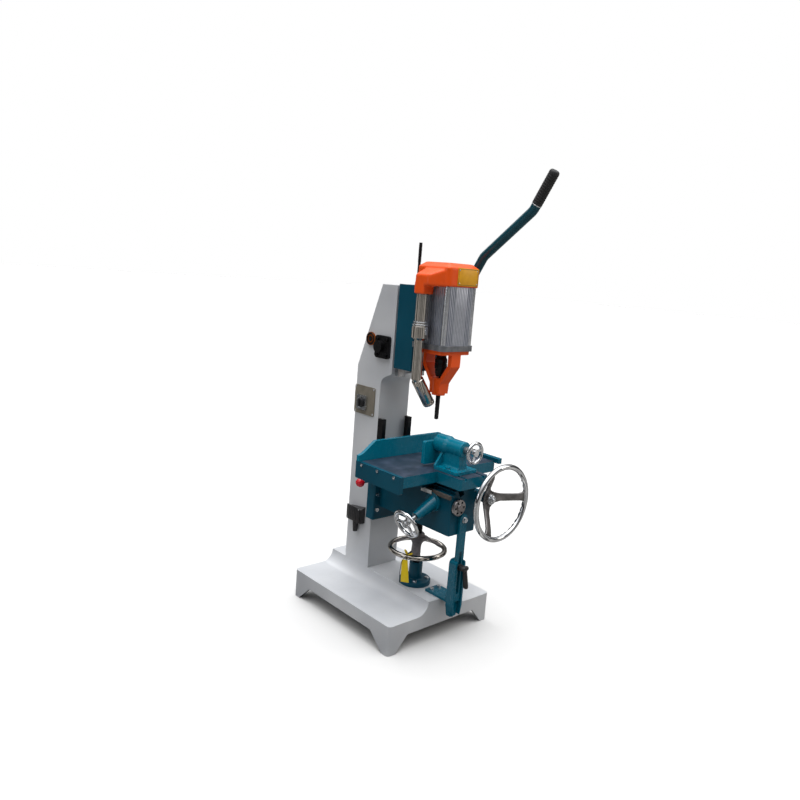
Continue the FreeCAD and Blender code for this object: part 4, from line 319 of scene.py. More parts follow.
chrome_plate = metal("bright_chrome_plate", "#DCDEE1", "#C4C6CB", 0.06, 0.06, (60, 60, 60), 0.001)
spun_chrome = metal("chromed_tube", "#AEA9A3", "#A5A09A", 0.06, 0.02, (60, 60, 60), 0.0005)
ground_steel = metal("ground_steel", "#B7BABD", "#8E9194", 0.26, 0.16, (0.8, 60, 0.8), 0.03)
dark_spoke = metal("linished_iron_spoke", "#8A8888", "#6A6868", 0.38, 0.2, (3, 3, 3), 0.03)
cast_spoke = metal("sand_cast_spoke", "#8A8486", "#736D6F", 0.45, 0.15, (1.6, 1.6, 1.6), 0.05, 0.4)
black_oxide = metal("black_oxide_steel", "#2A2A2D", "#19191B", 0.26, 0.16, (1.2, 1.2, 1.2), 0.03, 0.75)
satin_chrome = metal("satin_chrome", "#A29E9F", "#7C787A", 0.24, 0.12, (4, 4, 4), 0.02)
bright_zinc = metal("bright_zinc_plate", "#D2D5D9", "#BCC0C5", 0.2, 0.1, (5, 5, 5), 0.005)
bronze = metal("bearing_bronze", "#B5652E", "#8B4418", 0.3, 0.2, (2, 2, 2), 0.03)
motor_alloy = metal("extruded_aluminium", "#CDD1DC", "#BFC4CF", 0.36, 0.05, (3, 3, 300), 0.001)
bright_alloy = metal("bright_extrusion", "#DADCE1", "#C6CAD2", 0.17, 0.05, (40, 40, 400), 0.001)
cast_alloy = metal("cast_aluminium", "#94979C", "#7B7E84", 0.45, 0.15, (1.6, 1.6, 1.6), 0.08)
print("metals ready")

# %% [markdown]
# The table is one casting in two finishes: teal enamel on its sides, made darker there as painted shade, while
# its top was milled after painting.
# A mask chooses between them: it is one where the face looks up at the height of the table's surface. The
# milled iron is blue-grey, with cutter marks along its length, and pale where timber has rubbed it.

# %% Milled table top
TABLE_HEIGHT = 560
CUTTER_MARKS = (60, 0.9, 60)


def milled_top(material, height_mm):
    """Adds milled iron to a finish wherever a face looks up at a height above the floor."""
    tree = material.node_tree
    paint_shader = tree.nodes["Principled BSDF"]
    place = object_place(material)
    spots = noise(material, place, 55, Detail=6.0, Roughness=0.65)
    iron = blend(material, ranged(material, spots, 0.42, 0.78), "#39495C", "#66728A")
    marks = relief(material, scratches(material, place, CUTTER_MARKS, 2.0), 0.05, 0.5)
    bare = add_node(material, "ShaderNodeBsdfPrincipled", Metallic=0.65, Base_Color=iron, Normal=marks,
                    Roughness=ranged(material, spots, to_low=0.3, to_high=0.5))
    height = add_node(material, "ShaderNodeSeparateXYZ", Vector=place).outputs["Z"]
    level = arithmetic(material, "COMPARE", height, height_mm * MM, 0.2 * MM)
    facing = add_node(material, "ShaderNodeNewGeometry").outputs["True Normal"]
    up = add_node(material, "ShaderNodeSeparateXYZ", Vector=facing).outputs["Z"]
    mask = arithmetic(material, "MULTIPLY", level, arithmetic(material, "GREATER_THAN", up, 0.9))
    choice = add_node(material, "ShaderNodeMixShader", _0=mask, _1=paint_shader.outputs[0],
                      _2=bare.outputs[0])
    tree.links.new(choice.outputs[0], tree.nodes["Material Output"].inputs["Surface"])
    return material


# The table's sides take the darkened teal, as painted shade.
table_finish = milled_top(enamel("table_enamel_and_iron", chips=0.15, **PAINTED_SHADE_TEAL), TABLE_HEIGHT)
print("table finish:", table_finish.name)

# %% [markdown]
# Moulded parts: knobs and grips are phenolic or nylon, a little glossy, with a faint moulding grain and no
# metal in them.

# %% Plastics and rubber
RUBBED_SIZE = 24


def moulded(title, tint, worn, rough, grain=0.9, depth=0.05):
    """A moulded plastic or rubber with a fine grain and rubbed patches."""
    material, shader = new_finish(title, IOR=1.49)
    place = object_place(material)
    rubbed = noise(material, place, RUBBED_SIZE, Detail=6.0)
    colour = blend(material, ranged(material, rubbed, 0.4, 0.75), tint, worn)
    gloss = ranged(material, rubbed, to_low=rough, to_high=rough + 0.15)
    fine = noise(material, place, grain, Detail=2.0)
    return wire(material, shader, Base_Color=colour, Roughness=gloss,
                Normal=relief(material, fine, 0.08, depth * 6, Normal=rounded_edges(material, 0.6)))


black_plastic = moulded("black_phenolic", "#1B1B1E", "#2B2B2E", 0.32)
black_grip = moulded("black_rubber_grip", "#17181A", "#26272A", 0.5, 1.4, 0.09)
red_phenolic = moulded("red_phenolic", "#D2162C", "#BE1024", 0.14)
fan_nylon = moulded("grey_nylon", "#5C6066", "#6E7278", 0.45)
yellow_vinyl = moulded("yellow_vinyl", "#E9CB00", "#DDBB00", 0.35)
yellow_plate = moulded("yellow_lacquered_plate", "#F2B01C", "#E5A010", 0.3)
brown_board = moulded("brown_phenolic_strip", "#4B443F", "#57504A", 0.55)
pale_steel = moulded("grey_painted_switch_plate", "#7D776B", "#6E685C", 0.4)
print("plastics ready")

# %% [markdown]
# Each CAD node is given its finish. A node whose shape is already right keeps its mesh and only gets paint.

# %% Paint the frame
PAINT = {
    white_enamel: ["base_casting", "column_casting"],
    table_finish: ["table_casting"],
    teal_enamel: ["table_fence", "clamp_body", "clamp_ram"],
    # Painted shade: these parts under the table take the darkened copy of the teal paint.
    shade_painted_teal_enamel: ["cross_feed_housing", "brace_channel", "brace_bar"],
    green_enamel: ["feed_lever"],
    # Painted shade: these parts take the darkest copy of the teal paint.
    deep_shade_painted_teal_enamel: ["screw_pedestal", "head_slide", "knee_casting", "cross_slide", "traverse_bearing",
                   "side_apron"],
    orange_enamel: ["motor_cap", "chisel_yoke"],
    ground_steel: ["head_ways", "feed_rack", "cross_rack", "traverse_rack", "idler_gear", "traverse_shaft",
                   "cross_shaft", "pinion_shaft", "clamp_screw", "motor_rotor"],
    chrome_plate: ["traverse_wheel", "elevating_wheel", "cross_wheel", "clamp_wheel"],
    satin_chrome: ["cross_lock_knob"],
    spun_chrome: ["duct_upper", "duct_coupling", "duct_lower"],
    black_oxide: ["guide_rails", "elevating_screw", "hollow_chisel", "depth_rod", "drill_chuck", "auger_bit",
                  "shaft_flange_left", "shaft_flange_right"],
    bright_zinc: ["switch_bezel", "apron_screws", "base_bolts", "knee_bolts", "lock_plunger"],
    motor_alloy: ["motor_housing"],
    cast_alloy: ["motor_base_plate"],
    bronze: ["bronze_cap"],
    black_plastic: ["switch_knob", "inlet_box", "brace_lever"],
    black_grip: ["lever_grip"],
    red_phenolic: ["lock_ball"],
    fan_nylon: ["cooling_fan"],
    pale_steel: ["switch_plate"],
    brown_board: ["way_strip"],
}
for material, names in PAINT.items():
    for node_name in names:
        slots = nodes[node_name].data.materials
        slots.clear()
        slots.append(material)
painted = {name for names in PAINT.values() for name in names}
print(len(painted), "nodes painted; without a finish:", sorted(set(nodes) - painted))

# %% [markdown]
# ## Modelling by hand
# The pieces below start as primitives and are shaped in edit mode. These helpers keep each step to one line:
# one opens a fresh primitive, one selects by place, one turns a profile on the lathe, one closes the piece.

# %% Helpers
X, Y, Z = Vector((1, 0, 0)), Vector((0, 1, 0)), Vector((0, 0, 1))


def clear():
    """Object mode with nothing selected, so that the next operator acts only on what it adds."""
    if bpy.context.object and bpy.context.object.mode != "OBJECT":
        bpy.ops.object.mode_set(mode="OBJECT")
    bpy.ops.object.select_all(action="DESELECT")


def take(piece):
    """Makes a piece the only one selected, and the active one."""
    clear()
    bpy.context.view_layer.objects.active = piece
    piece.select_set(True)


def settled():
    """Carries the place, turn and scale of what is selected into its mesh."""
    bpy.ops.object.transform_apply(location=True, rotation=True, scale=True)


def start(shape, name, place, **sizes):
    """Adds a primitive, settles its place into its mesh and opens it in edit mode."""
    clear()
    getattr(bpy.ops.mesh, f"primitive_{shape}_add")(location=place, **sizes)
    piece = bpy.context.object
    piece.name = name
    settled()
    bpy.ops.object.mode_set(mode="EDIT")
    return piece


def pick(test, kind="VERT"):
    """Selects the corners, edges or faces whose middle passes a test."""
    bpy.ops.mesh.select_mode(type=kind)
    bpy.ops.mesh.select_all(action="DESELECT")
    mesh = bmesh.from_edit_mesh(bpy.context.edit_object.data)
    items = {"VERT": mesh.verts, "EDGE": mesh.edges, "FACE": mesh.faces}[kind]
    for item in items:
        corners = [item.co] if kind == "VERT" else [v.co for v in item.verts]
        item.select_set(test(sum(corners, Vector()) / len(corners)))
    mesh.select_flush_mode()
    bmesh.update_edit_mesh(bpy.context.edit_object.data)


def cut(place, normal):
    """Cuts every face of the open piece along a plane."""
    bpy.ops.mesh.select_all(action="SELECT")
    bpy.ops.mesh.bisect(plane_co=place, plane_no=normal)


def move(x, y, z):
    """Moves what is selected, in mm."""
    bpy.ops.transform.translate(value=(x * MM, y * MM, z * MM))


def extrude(step):
    """Extrudes what is selected by a step, in metres."""
    bpy.ops.mesh.extrude_region_move(TRANSFORM_OT_translate={"value": step})


def soften(width, segments):
    """Rounds the edges of what is selected over a width in mm."""
    bpy.ops.mesh.bevel(offset=width * MM, segments=segments, affect="EDGES", clamp_overlap=True)


def turned(name, place, axis, rings, sides=48, hollow=False):
    """Turns a piece on the lathe: a disc or ring drawn along an axis. Rings are (radius, distance) in mm."""
    spin = axis.to_track_quat("Z", "Y").to_euler()
    first_radius, first_distance = rings[0]
    piece = start("circle", name, place + axis * first_distance * MM, radius=first_radius * MM,
                  vertices=sides, fill_type="NOTHING" if hollow else "NGON", rotation=spin)
    for (radius, distance), (next_radius, next_distance) in zip(rings, rings[1:]):
        extrude(axis * (next_distance - distance) * MM)
        centre = place + axis * next_distance * MM
        bpy.ops.transform.resize(value=[next_radius / radius] * 3, center_override=centre)
    if hollow:
        bpy.ops.mesh.select_mode(type="EDGE")
        bpy.ops.mesh.select_all(action="DESELECT")
        bpy.ops.mesh.select_non_manifold()
        bpy.ops.mesh.bridge_edge_loops()
    return piece


def block(name, low, high, rounding, segments=3):
    """A block between two corners, in metres, whose edges are rounded by some mm."""
    piece = start("cube", name, (low + high) / 2, size=1, scale=high - low)
    soften(rounding, segments)
    return piece


def modify(piece, kind, **settings):
    """Adds a modifier to a piece, sets it and applies it."""
    take(piece)
    modifier = piece.modifiers.new(kind.lower(), kind)
    for title, value in settings.items():
        setattr(modifier, title, value)
    bpy.ops.object.modifier_apply(modifier=modifier.name)


def copied(piece, name):
    """A copy with its own mesh, opened in edit mode with all of it selected."""
    take(piece)
    bpy.ops.object.duplicate(linked=False)
    copy = bpy.context.object
    copy.name = name
    bpy.ops.object.mode_set(mode="EDIT")
    bpy.ops.mesh.select_all(action="SELECT")
    return copy


def joined(pieces):
    """Several pieces as one object, named like the first."""
    clear()
    for piece in pieces:
        piece.select_set(True)
    bpy.context.view_layer.objects.active = pieces[0]
    bpy.ops.object.join()
    return pieces[0]


def settle(piece, centre, axis, across):
    """Moves a piece modelled about Z at the origin to its centre, with its Z on axis and its X on across."""
    clear()
    turned_axes = Matrix((across, axis.cross(across), axis)).transposed().to_4x4()
    piece.matrix_world = Matrix.Translation(centre) @ turned_axes
    take(piece)
    settled()


def done(piece, body, slot, material, *stands_for, smooth=34):
    """Closes a piece: normals outward, smooth shading below an angle, finish and body. The slot argument is
    not used.
    """
    take(piece)
    bpy.ops.object.mode_set(mode="EDIT")
    bpy.ops.mesh.select_all(action="SELECT")
    bpy.ops.mesh.normals_make_consistent(inside=False)
    bpy.ops.object.mode_set(mode="OBJECT")
    settled()
    bpy.ops.object.shade_smooth_by_angle(angle=math.radians(smooth))
    piece.data.materials.clear()
    piece.data.materials.append(material)
    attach(piece, body)
    if stands_for:
        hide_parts(*stands_for)
    return piece


print("modelling helpers ready")

# %% [markdown]
# ## Hand wheels
# A hand wheel of this kind is cast in one piece: a tubular rim, three flat dished spokes and a hub. The rim
# is turned and chromed, while the spokes keep the grey of the casting. A torus gives the rim. Each spoke
# starts as a block, is cut across at a few stations, and is widened and lowered station by station, so that
# it leaves the hub with a fillet, dips in a soft S and spreads again where it meets the rim. A bevel rounds
# its edges.

# %% Wheel parts
# Each station: its share of the spoke's length, its width beside the spoke's own, its share of the dish.
SPOKE_STATIONS = ((0.0, 1.9, 0.0), (0.14, 1.35, 0.03), (0.3, 1.0, 0.2), (0.55, 0.96, 0.55),
                  (0.8, 0.96, 0.88), (0.92, 1.1, 0.98), (1.0, 1.5, 1.0))
SHARP = {"segments": 3, "limit_method": "ANGLE", "angle_limit": math.radians(50)}


def wheel_rim(name, radius, tube, height=0.0):
    """The rim tube about Z at a height. Sizes in mm; radius runs to the tube's middle."""
    clear()
    bpy.ops.mesh.primitive_torus_add(major_radius=radius * MM, minor_radius=tube * MM, major_segments=120,
                                     minor_segments=24, location=(0, 0, height * MM))
    rim = bpy.context.object
    rim.name = name
    settled()
    bpy.ops.object.mode_set(mode="EDIT")
    return rim


def wheel_spoke(name, inner, outer, width, thick, low, high):
    """A flat spoke along X whose middle runs from height low at the hub to height high at the rim."""
    length = outer - inner
    middle = Vector(((inner + outer) / 2 * MM, 0, low * MM))
    spoke = start("cube", name, middle, size=1, scale=(length * MM, width * MM, thick * MM))
    stations = [(inner + share * length, widen, low + (high - low) * drop)
                for share, widen, drop in SPOKE_STATIONS]
    for reach, widen, level in stations[1:-1]:
        cut((reach * MM, 0, 0), X)
    for reach, widen, level in stations:
        pick(lambda place: abs(place.x - reach * MM) < 0.01 * MM)
        bpy.ops.transform.resize(value=(1, widen, 1), center_override=(reach * MM, 0, 0))
        bpy.ops.transform.translate(value=(0, 0, (level - low) * MM))
    modify(spoke, "BEVEL", width=thick * 0.32 * MM, **SHARP)
    return spoke


def wheel_spider(name, inner, outer, width, thick, low, high, hub_rings):
    """Three spokes and a turned hub, about Z."""
    spoke = wheel_spoke(name, inner, outer, width, thick, low, high)
    pieces = [spoke]
    for turn in (120, 240):
        other = copied(spoke, name + "_copy")
        bpy.ops.transform.rotate(value=math.radians(turn), orient_axis="Z", center_override=(0, 0, 0))
        pieces.append(other)
    pieces.append(turned(name + "_hub", Vector(), Z, hub_rings, sides=40))
    return joined(pieces)


def direction(angle, first, second):
    """The unit vector at an angle, in degrees, from the first direction towards the second."""
    return first * math.cos(math.radians(angle)) + second * math.sin(math.radians(angle))


print("stations along a spoke:", len(SPOKE_STATIONS))

# %% [markdown]
# The big wheel drives the table sideways. Its rim carries shallow finger notches round the inside of its
# back, made by easing groups of corners outward. A hexagon nut holds it on the shaft.

# %% Big traverse wheel
BIG_CENTRE = at(78, -345, 480)
BIG_RADIUS, BIG_TUBE, BIG_RISE = 115.0, 8.5, 43.0
NOTCHES, NOTCH_EASE = 36, 1.028


def in_notch(place):
    """True at the rim's inner back, over about half of each notch's pitch."""
    inner_back = math.hypot(place.x, place.y) < (BIG_RADIUS - 2) * MM and place.z < (BIG_RISE - 1) * MM
    return inner_back and math.sin(NOTCHES * math.atan2(place.y, place.x)) > 0.1


big_rim = wheel_rim("traverse_wheel_rim", BIG_RADIUS, BIG_TUBE, BIG_RISE)
pick(in_notch)
bpy.ops.transform.resize(value=(NOTCH_EASE, NOTCH_EASE, 1), center_override=(0, 0, 0))
big_spider = wheel_spider("traverse_wheel_spider", 10, 110, 25, 9, -9, BIG_RISE - 2,
                          [(15, -17.5), (17.5, -15.5), (17.5, -3), (15.5, 0), (9, 0.5)])
big_nut = joined([
    turned("traverse_wheel_nut", Vector(), Z, [(12.5, 2), (13.2, 3), (13.2, 9), (11.5, 10), (7, 10)], 6),
    turned("traverse_wheel_washer", Vector(), Z, [(15.5, 0), (16, 0.6), (16, 2), (7, 2.2)], 32),
    turned("traverse_shaft_end", Vector(), Z, [(6.2, 8), (6.2, 13), (5.2, 14.2), (2, 14.4)], 24)])
for piece, material in ((big_rim, chrome_plate), (big_spider, dark_spoke), (big_nut, bright_zinc)):
    settle(piece, BIG_CENTRE, -Y, direction(3, X, Z))
    done(piece, "traverse", "chrome_plate", material, "traverse_wheel")
print("big wheel:", len(big_rim.data.polygons) + len(big_spider.data.polygons), "faces")

# %% [markdown]
# The elevating wheel lies flat round the screw. Its hub stands above the rim, and its wide spokes are left as
# cast.

# %% Elevating wheel
lift_foot = at(0, -118, 0)
lift_rim = wheel_rim("elevating_wheel_rim", 90.5, 8.5, 258)
lift_spider = wheel_spider("elevating_wheel_spider", 15, 86, 31, 9, 296, 260,
                           [(20, 285), (21, 287), (21, 308), (18, 312), (12.5, 312)])
for piece, material in ((lift_rim, spun_chrome), (lift_spider, cast_spoke)):
    settle(piece, lift_foot, Z, direction(-19.3, X, Y))
    done(piece, "lift", "chrome_plate", material, "elevating_wheel")
print("elevating wheel ready")

# %% [markdown]
# Two small wheels are chromed all over: one feeds the cross slide from the left, one closes the clamp.

# %% Small wheels
# Each wheel: its body, centre, axis, first spoke, rim radius, rim tube, spoke width and spoke thickness.
small_hub = [(10, -8), (12, -6.5), (12, 6.5), (10, 8), (6, 8)]
small_wheels = {
    "cross_wheel": ("cross_drive", at(-169.95, -233, 410.05), direction(25, X, Z), Y, 44.0, 6.0, 12, 7),
    "clamp_wheel": ("clamp_drive", at(0, -329, 633), -Y, direction(20, X, Z), 30.5, 5.5, 10, 6),
}
for node_name, (body, centre, axis, across, radius, tube, width, thick) in small_wheels.items():
    rim = wheel_rim(node_name + "_rim", radius, tube)
    spider = wheel_spider(node_name + "_spider", 8, radius - 2, width, thick, 0, 0.01, small_hub)
    for piece in (rim, spider):
        settle(piece, centre, axis, across)
        done(piece, body, "chrome_plate", chrome_plate, node_name)
print("small wheels:", list(small_wheels))

# %% [markdown]
# ## Screws
# A thread is cut by a single point tool, so it is modelled the same way: a small triangle is swept round the
# axis by the Screw modifier, one pitch per turn, on a core turned to the root diameter.

# %% Threads
def threaded(name, place, radius, low, high, pitch, sides=32):
    """An upright threaded rod over a place, from low to high in mm, whose crests reach the radius."""
    depth = pitch * 0.55
    root = radius - depth * 0.8
    turns = int((high - low - pitch) / pitch)
    core = turned(name, Vector(), Z, [(radius - depth, low), (root, low + 0.5), (root, high - 1.5),
                                      (radius - depth - 0.6, high)], sides)
    crest = ((radius - depth * 0.5) * MM, 0, (low + pitch * 0.5) * MM)
    ridge = start("circle", name + "_ridge", crest, radius=depth * 0.52 * MM, vertices=3,
                  fill_type="NOTHING", rotation=(math.pi / 2, math.pi / 2, 0))
    modify(ridge, "SCREW", angle=math.tau, steps=sides, render_steps=sides, screw_offset=pitch * MM,
           iterations=turns, axis="Z", use_smooth_shade=True)
    rod = joined([core, ridge])
    settle(rod, place, Z, X)
    return rod


lift_screw = threaded("elevating_screw_thread", lift_foot, 12, 50, 396, 5)
done(lift_screw, "lift", "black_oxide", black_oxide, "elevating_screw")
depth_foot = at(-20, -40, 0)
depth_screw = threaded("depth_rod_thread", depth_foot, 6, 1186, 1244, 3, 20)
depth_sleeve = turned("depth_rod_sleeve", depth_foot, Z,
                      [(6.5, 1112.2), (6.5, 1116), (4.6, 1118), (4.4, 1186)], 24)
done(joined([depth_screw, depth_sleeve]), "head", "black_oxide", black_oxide)
print("threads:", len(lift_screw.data.polygons), "and", len(depth_screw.data.polygons), "faces")

# %% [markdown]
# The knee's way strip ends in a lighter ground gib, let into its rear.

# %% Gib
strip_low, strip_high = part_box("way_strip")
gib = block("way_gib", Vector((strip_low.x - 0.5 * MM, strip_high.y - 48 * MM, strip_low.z + 1 * MM)),
            Vector((strip_low.x + 2 * MM, strip_high.y - 1 * MM, strip_high.z - 1 * MM)), 0.4, 2)
done(gib, "knee", "ground_steel", ground_steel)
print("way strip from", [round(v, 4) for v in strip_low], "to", [round(v, 4) for v in strip_high])

# %% [markdown]
# ## Head
# The lever's grip is a rubber sleeve with moulded rings. A thin plated ferrule closes it at the lower end.
# The sleeve is sunk a little below the lever's tip, so that its round end stays within the machine's height.

# %% Lever grip
grip_tip = at(100, -438, 1465)
grip_axis = (grip_tip - at(100, -374, 1355)).normalized()
GRIP_LENGTH, GRIP_SINK = 105.0, 1.2
GRIP_RINGS, RING_PITCH = 12, 7.6
profile = [(15.2, 0), (15.5, 3)]
for i in range(GRIP_RINGS):
    root = 6 + i * RING_PITCH
    profile += [(15.5, root), (14.6, root + 0.8), (14.6, root + 1.8), (15.5, root + 2.6)]
profile += [(15.2, 99), (13.7, 102.4), (11.3, 104.6), (7, GRIP_LENGTH)]
grip_base = grip_tip - grip_axis * (GRIP_LENGTH + GRIP_SINK) * MM
grip = turned("lever_grip_sleeve", grip_base, grip_axis, profile)
done(grip, "feed", "black_grip", black_grip, "lever_grip", smooth=50)
ferrule = turned("lever_grip_ferrule", grip_base, grip_axis,
                 [(14.6, -3.5), (15.4, -3), (15.4, -0.6), (14.6, 0)])
done(ferrule, "feed", "chrome_plate", bright_zinc)
print("grip rings:", GRIP_RINGS)

# %% [markdown]
# The drill chuck is a keyed chuck: a knurled sleeve over a tapered nose, turned in one profile. The knurl is
# cut by drawing every second line of corners inward.

# %% Drill chuck
spindle_foot = at(0, -153.5, 0)
KNURL, KNURL_DEPTH = 28, 0.95


def on_knurl(place):
    """True on every second line of corners in the sleeve's lower band."""
    in_band = 866 < place.z / MM < 881 and (place - spindle_foot).to_2d().length > 19 * MM
    return in_band and math.cos(KNURL * math.atan2(place.y - spindle_foot.y, place.x)) > 0


chuck = turned("drill_chuck_sleeve", spindle_foot, Z,
               [(8, 840), (12.5, 840), (13.5, 842), (17, 852), (17, 864), (18.6, 865), (19.5, 867),
                (19.5, 880), (18.8, 881), (18.8, 883), (19.5, 884), (19.5, 895), (17, 898), (15.5, 902),
                (15.5, 913.5), (8, 914)], sides=56)
pick(on_knurl)
bpy.ops.transform.resize(value=(KNURL_DEPTH, KNURL_DEPTH, 1), center_override=spindle_foot)
done(chuck, "spindle", "black_oxide", black_oxide, "drill_chuck", smooth=25)
print("knurl lines:", KNURL)

# %% [markdown]
# The chip duct is chromed tube. Its coupling carries two rolled beads and a clamp ear with a screw. The
# nozzle is one tube with rolled rings at its mouth and two seams along it.

# %% Duct trim
duct_foot = at(-90, -142, 0)
beads = []
for z, r in ((1001, 25.6), (1008.5, 23.4)):
    rings = [(19.6, z - 2.6), (r, z - 1.6), (r + 0.6, z), (r, z + 1.6), (19.6, z + 2.6)]
    beads.append(turned("duct_bead", duct_foot, Z, rings, hollow=True))
done(joined(beads), "head", "chrome_plate", bright_zinc)
ear = block("duct_clamp_ear", at(-95, -171, 972), at(-85, -165.5, 994), 1.5)
ear_screw = turned("duct_clamp_screw", at(-96.5, -168.3, 983), X,
                   [(3, 0), (3.6, 0.4), (3.6, 3), (2, 3.4), (2, 12)], 20)
done(joined([ear, ear_screw]), "head", "chrome_plate", bright_zinc)
NOZZLE_LEAN = math.radians(36.5)
nozzle_axis = Vector((math.sin(NOZZLE_LEAN), 0, -math.cos(NOZZLE_LEAN)))
nozzle_foot = at(-90, -142, 838)
nozzle = turned("duct_nozzle", nozzle_foot, nozzle_axis,
                [(16.2, 6), (18.6, 8), (19, 10), (19, 94), (18.4, 95), (18.6, 97), (19, 98), (19, 104),
                 (18.4, 105.6), (17.4, 105.6), (17.2, 99)], hollow=True)
seams = []
for angle in (200, 235):
    side = direction(angle, X.cross(nozzle_axis).normalized(), -Y.cross(nozzle_axis).normalized())
    foot = nozzle_foot + side * 18.9 * MM
    seams.append(turned("duct_seam", foot, nozzle_axis, [(0.6, 11), (1.1, 12), (1.1, 92), (0.6, 93)], 10))
done(joined([nozzle] + seams), "head", "chrome_plate", spun_chrome)
print("duct trim ready")

# %% [markdown]
# The chisel is ground square and slender, and the auger turns inside it. A four-sided profile gives its
# flats; the last ring runs back up the bore, so that the open end shows the wall.

# %% Chisel
chisel = turned("hollow_chisel_square", spindle_foot, -Z,
                [(9.6, -836), (9.6, -822), (8.4, -816), (7.2, -760), (6.7, -703.4), (5.3, -703), (5.2, -740)],
                4, hollow=True)
bpy.ops.mesh.select_all(action="SELECT")
bpy.ops.transform.rotate(value=math.radians(45), orient_axis="Z", center_override=spindle_foot)
modify(chisel, "BEVEL", width=0.4 * MM, **{**SHARP, "segments": 2})
done(chisel, "head", "black_oxide", black_oxide, "hollow_chisel", smooth=25)
print("chisel:", len(chisel.data.polygons), "faces")

# %% [markdown]
# The motor is an extrusion: four bright round pillars at its corners, and fine ribs down its flats.

# %% Motor trim
PILLAR_REACH = 55.6
RIB_REACH, RIB_PITCH = 63.2, 7
pillars = []
for x in (-1, 1):
    for y in (-1, 1):
        corner = spindle_foot + Vector((x * PILLAR_REACH, y * PILLAR_REACH, 0)) * MM
        rings = [(8, 944.4), (8.6, 945), (8.6, 1120), (8, 1120.8)]
        pillars.append(turned("motor_pillar", corner, Z, rings, 28))
done(joined(pillars), "head", "motor_alloy", bright_alloy)
ribs = []
for side in (-1, 1):
    for i in range(-3, 4):
        low = spindle_foot + Vector((i * RIB_PITCH - 1.9, side * RIB_REACH - 0.9, 945)) * MM
        ribs.append(block("motor_rib", low, low + Vector((3.8, 1.8, 175)) * MM, 0.7, 2))
done(joined(ribs), "head", "motor_alloy", motor_alloy)
print("ribs:", len(ribs))

# %% [markdown]
# The motor cap is a thin casting with soft corners: a square dome, and on its left the blower's volute,
# whose top slopes down to the spout over the duct. It is roughed out from blocks, fused by a fine remesh,
# relaxed so that the joints turn into fillets, opened underneath and given its wall.

# %% Motor cap
CAP_MIDDLE, CAP_TOP = 1156, 1191
CORNER_ROUND, CROWN_INSET, CROWN_DROP, EDGE_ROUND = 15, 22, 14, 6
VOXEL, WALL = 1.8, 3


def off_axis(place):
    """How far a place lies from the motor's axis in mm, along X or Y, whichever is more."""
    return max(abs(v) for v in (place - spindle_foot).to_2d()) / MM


dome = start("cube", "motor_cap_shell", spindle_foot + Vector((0, 0, CAP_MIDDLE)) * MM, size=1,
             scale=(0.14, 0.14, 0.07))
pick(lambda place: abs(place.z - CAP_MIDDLE * MM) < 1 * MM, "EDGE")
bpy.ops.mesh.bevel(offset=CORNER_ROUND * MM, segments=6, affect="EDGES")
pick(lambda place: place.z > (CAP_TOP - 1) * MM, "FACE")
bpy.ops.mesh.inset(thickness=CROWN_INSET * MM)
pick(lambda place: place.z > (CAP_TOP - 1) * MM and off_axis(place) > 60)
move(0, 0, -CROWN_DROP)
pick(lambda place: place.z > 1170 * MM and abs(place.z - (CAP_TOP - CROWN_DROP / 2) * MM) > 3 * MM, "EDGE")
soften(EDGE_ROUND, 3)
volute = start("cube", "motor_cap_volute", at(-82.5, -150, 1134), size=1, scale=(0.055, 0.058, 0.03))
pick(lambda place: place.x > -80 * MM and place.y < at(0, -150, 0).y)
move(0, -43, 0)
pick(lambda place: place.x > -80 * MM and place.z > 1140 * MM)
move(0, 0, 30)
pick(lambda place: place.x < -80 * MM and place.z > 1140 * MM)
move(0, 0, 3)
bpy.ops.mesh.select_all(action="SELECT")
soften(EDGE_ROUND, 3)
spout = start("cube", "motor_cap_spout", at(-87.8, -142, 1110), size=1, scale=(0.0444, 0.042, 0.034))
cap = joined([dome, volute, spout])
modify(cap, "REMESH", mode="VOXEL", voxel_size=VOXEL * MM)
modify(cap, "SMOOTH", factor=0.7, iterations=20)
take(cap)
bpy.ops.object.mode_set(mode="EDIT")
pick(lambda place: place.z < 1123 * MM and off_axis(place) < 64, "FACE")
bpy.ops.mesh.delete(type="FACE")
modify(cap, "SOLIDIFY", thickness=WALL * MM, offset=-1)
done(cap, "head", "orange_enamel", orange_enamel, "motor_cap", smooth=50)
print("cap:", len(cap.data.polygons), "faces")

# %% [markdown]
# The cap's front bears a lacquered sheet-metal plate, left blank, with a pressed border and four dome rivets.

# %% Blank plate
# The border's bars, each from x and z to x and z.
BARS = ((-28.5, 1127.5, 55.5, 1128.5), (-28.5, 1174.5, 55.5, 1175.5),
        (-28.5, 1127.5, -27.5, 1175.5), (54.5, 1127.5, 55.5, 1175.5))
DOME_HEAD = [(2.2, 0), (2.1, 0.7), (1.5, 1.3), (0.6, 1.6)]
plate = block("cap_plate", at(-31, -224.9, 1125), at(58, -223.0, 1178), 0.4, 2)
border = [block("cap_plate_border", at(x, -225.2, z), at(far_x, -224.7, far_z), 0.25, 1)
          for x, z, far_x, far_z in BARS]
rivets = []
for x in (-24, 51):
    for z in (1132, 1171):
        rivets.append(turned("cap_rivet", at(x, -224.7, z), -Y, DOME_HEAD, 16))
done(plate, "head", "orange_enamel", yellow_plate)
done(joined(border), "head", "orange_enamel", black_plastic)
done(joined(rivets), "head", "chrome_plate", bright_zinc)
print("rivets:", len(rivets))

# %% [markdown]
# ## Column fittings
# The switch is a rotary isolator: a square bezel on the plate and a fluted knob with a raised grip.

# %% Switch
knob_place = at(-72, 137, 708)
FLUTES, FLUTE_DEPTH = 5, 0.86


def in_flute(place):
    """True on the knob's rim where a flute runs."""
    out = place - knob_place
    return out.yz.length > 15 * MM and math.cos(FLUTES * math.atan2(out.z, out.y)) < -0.2


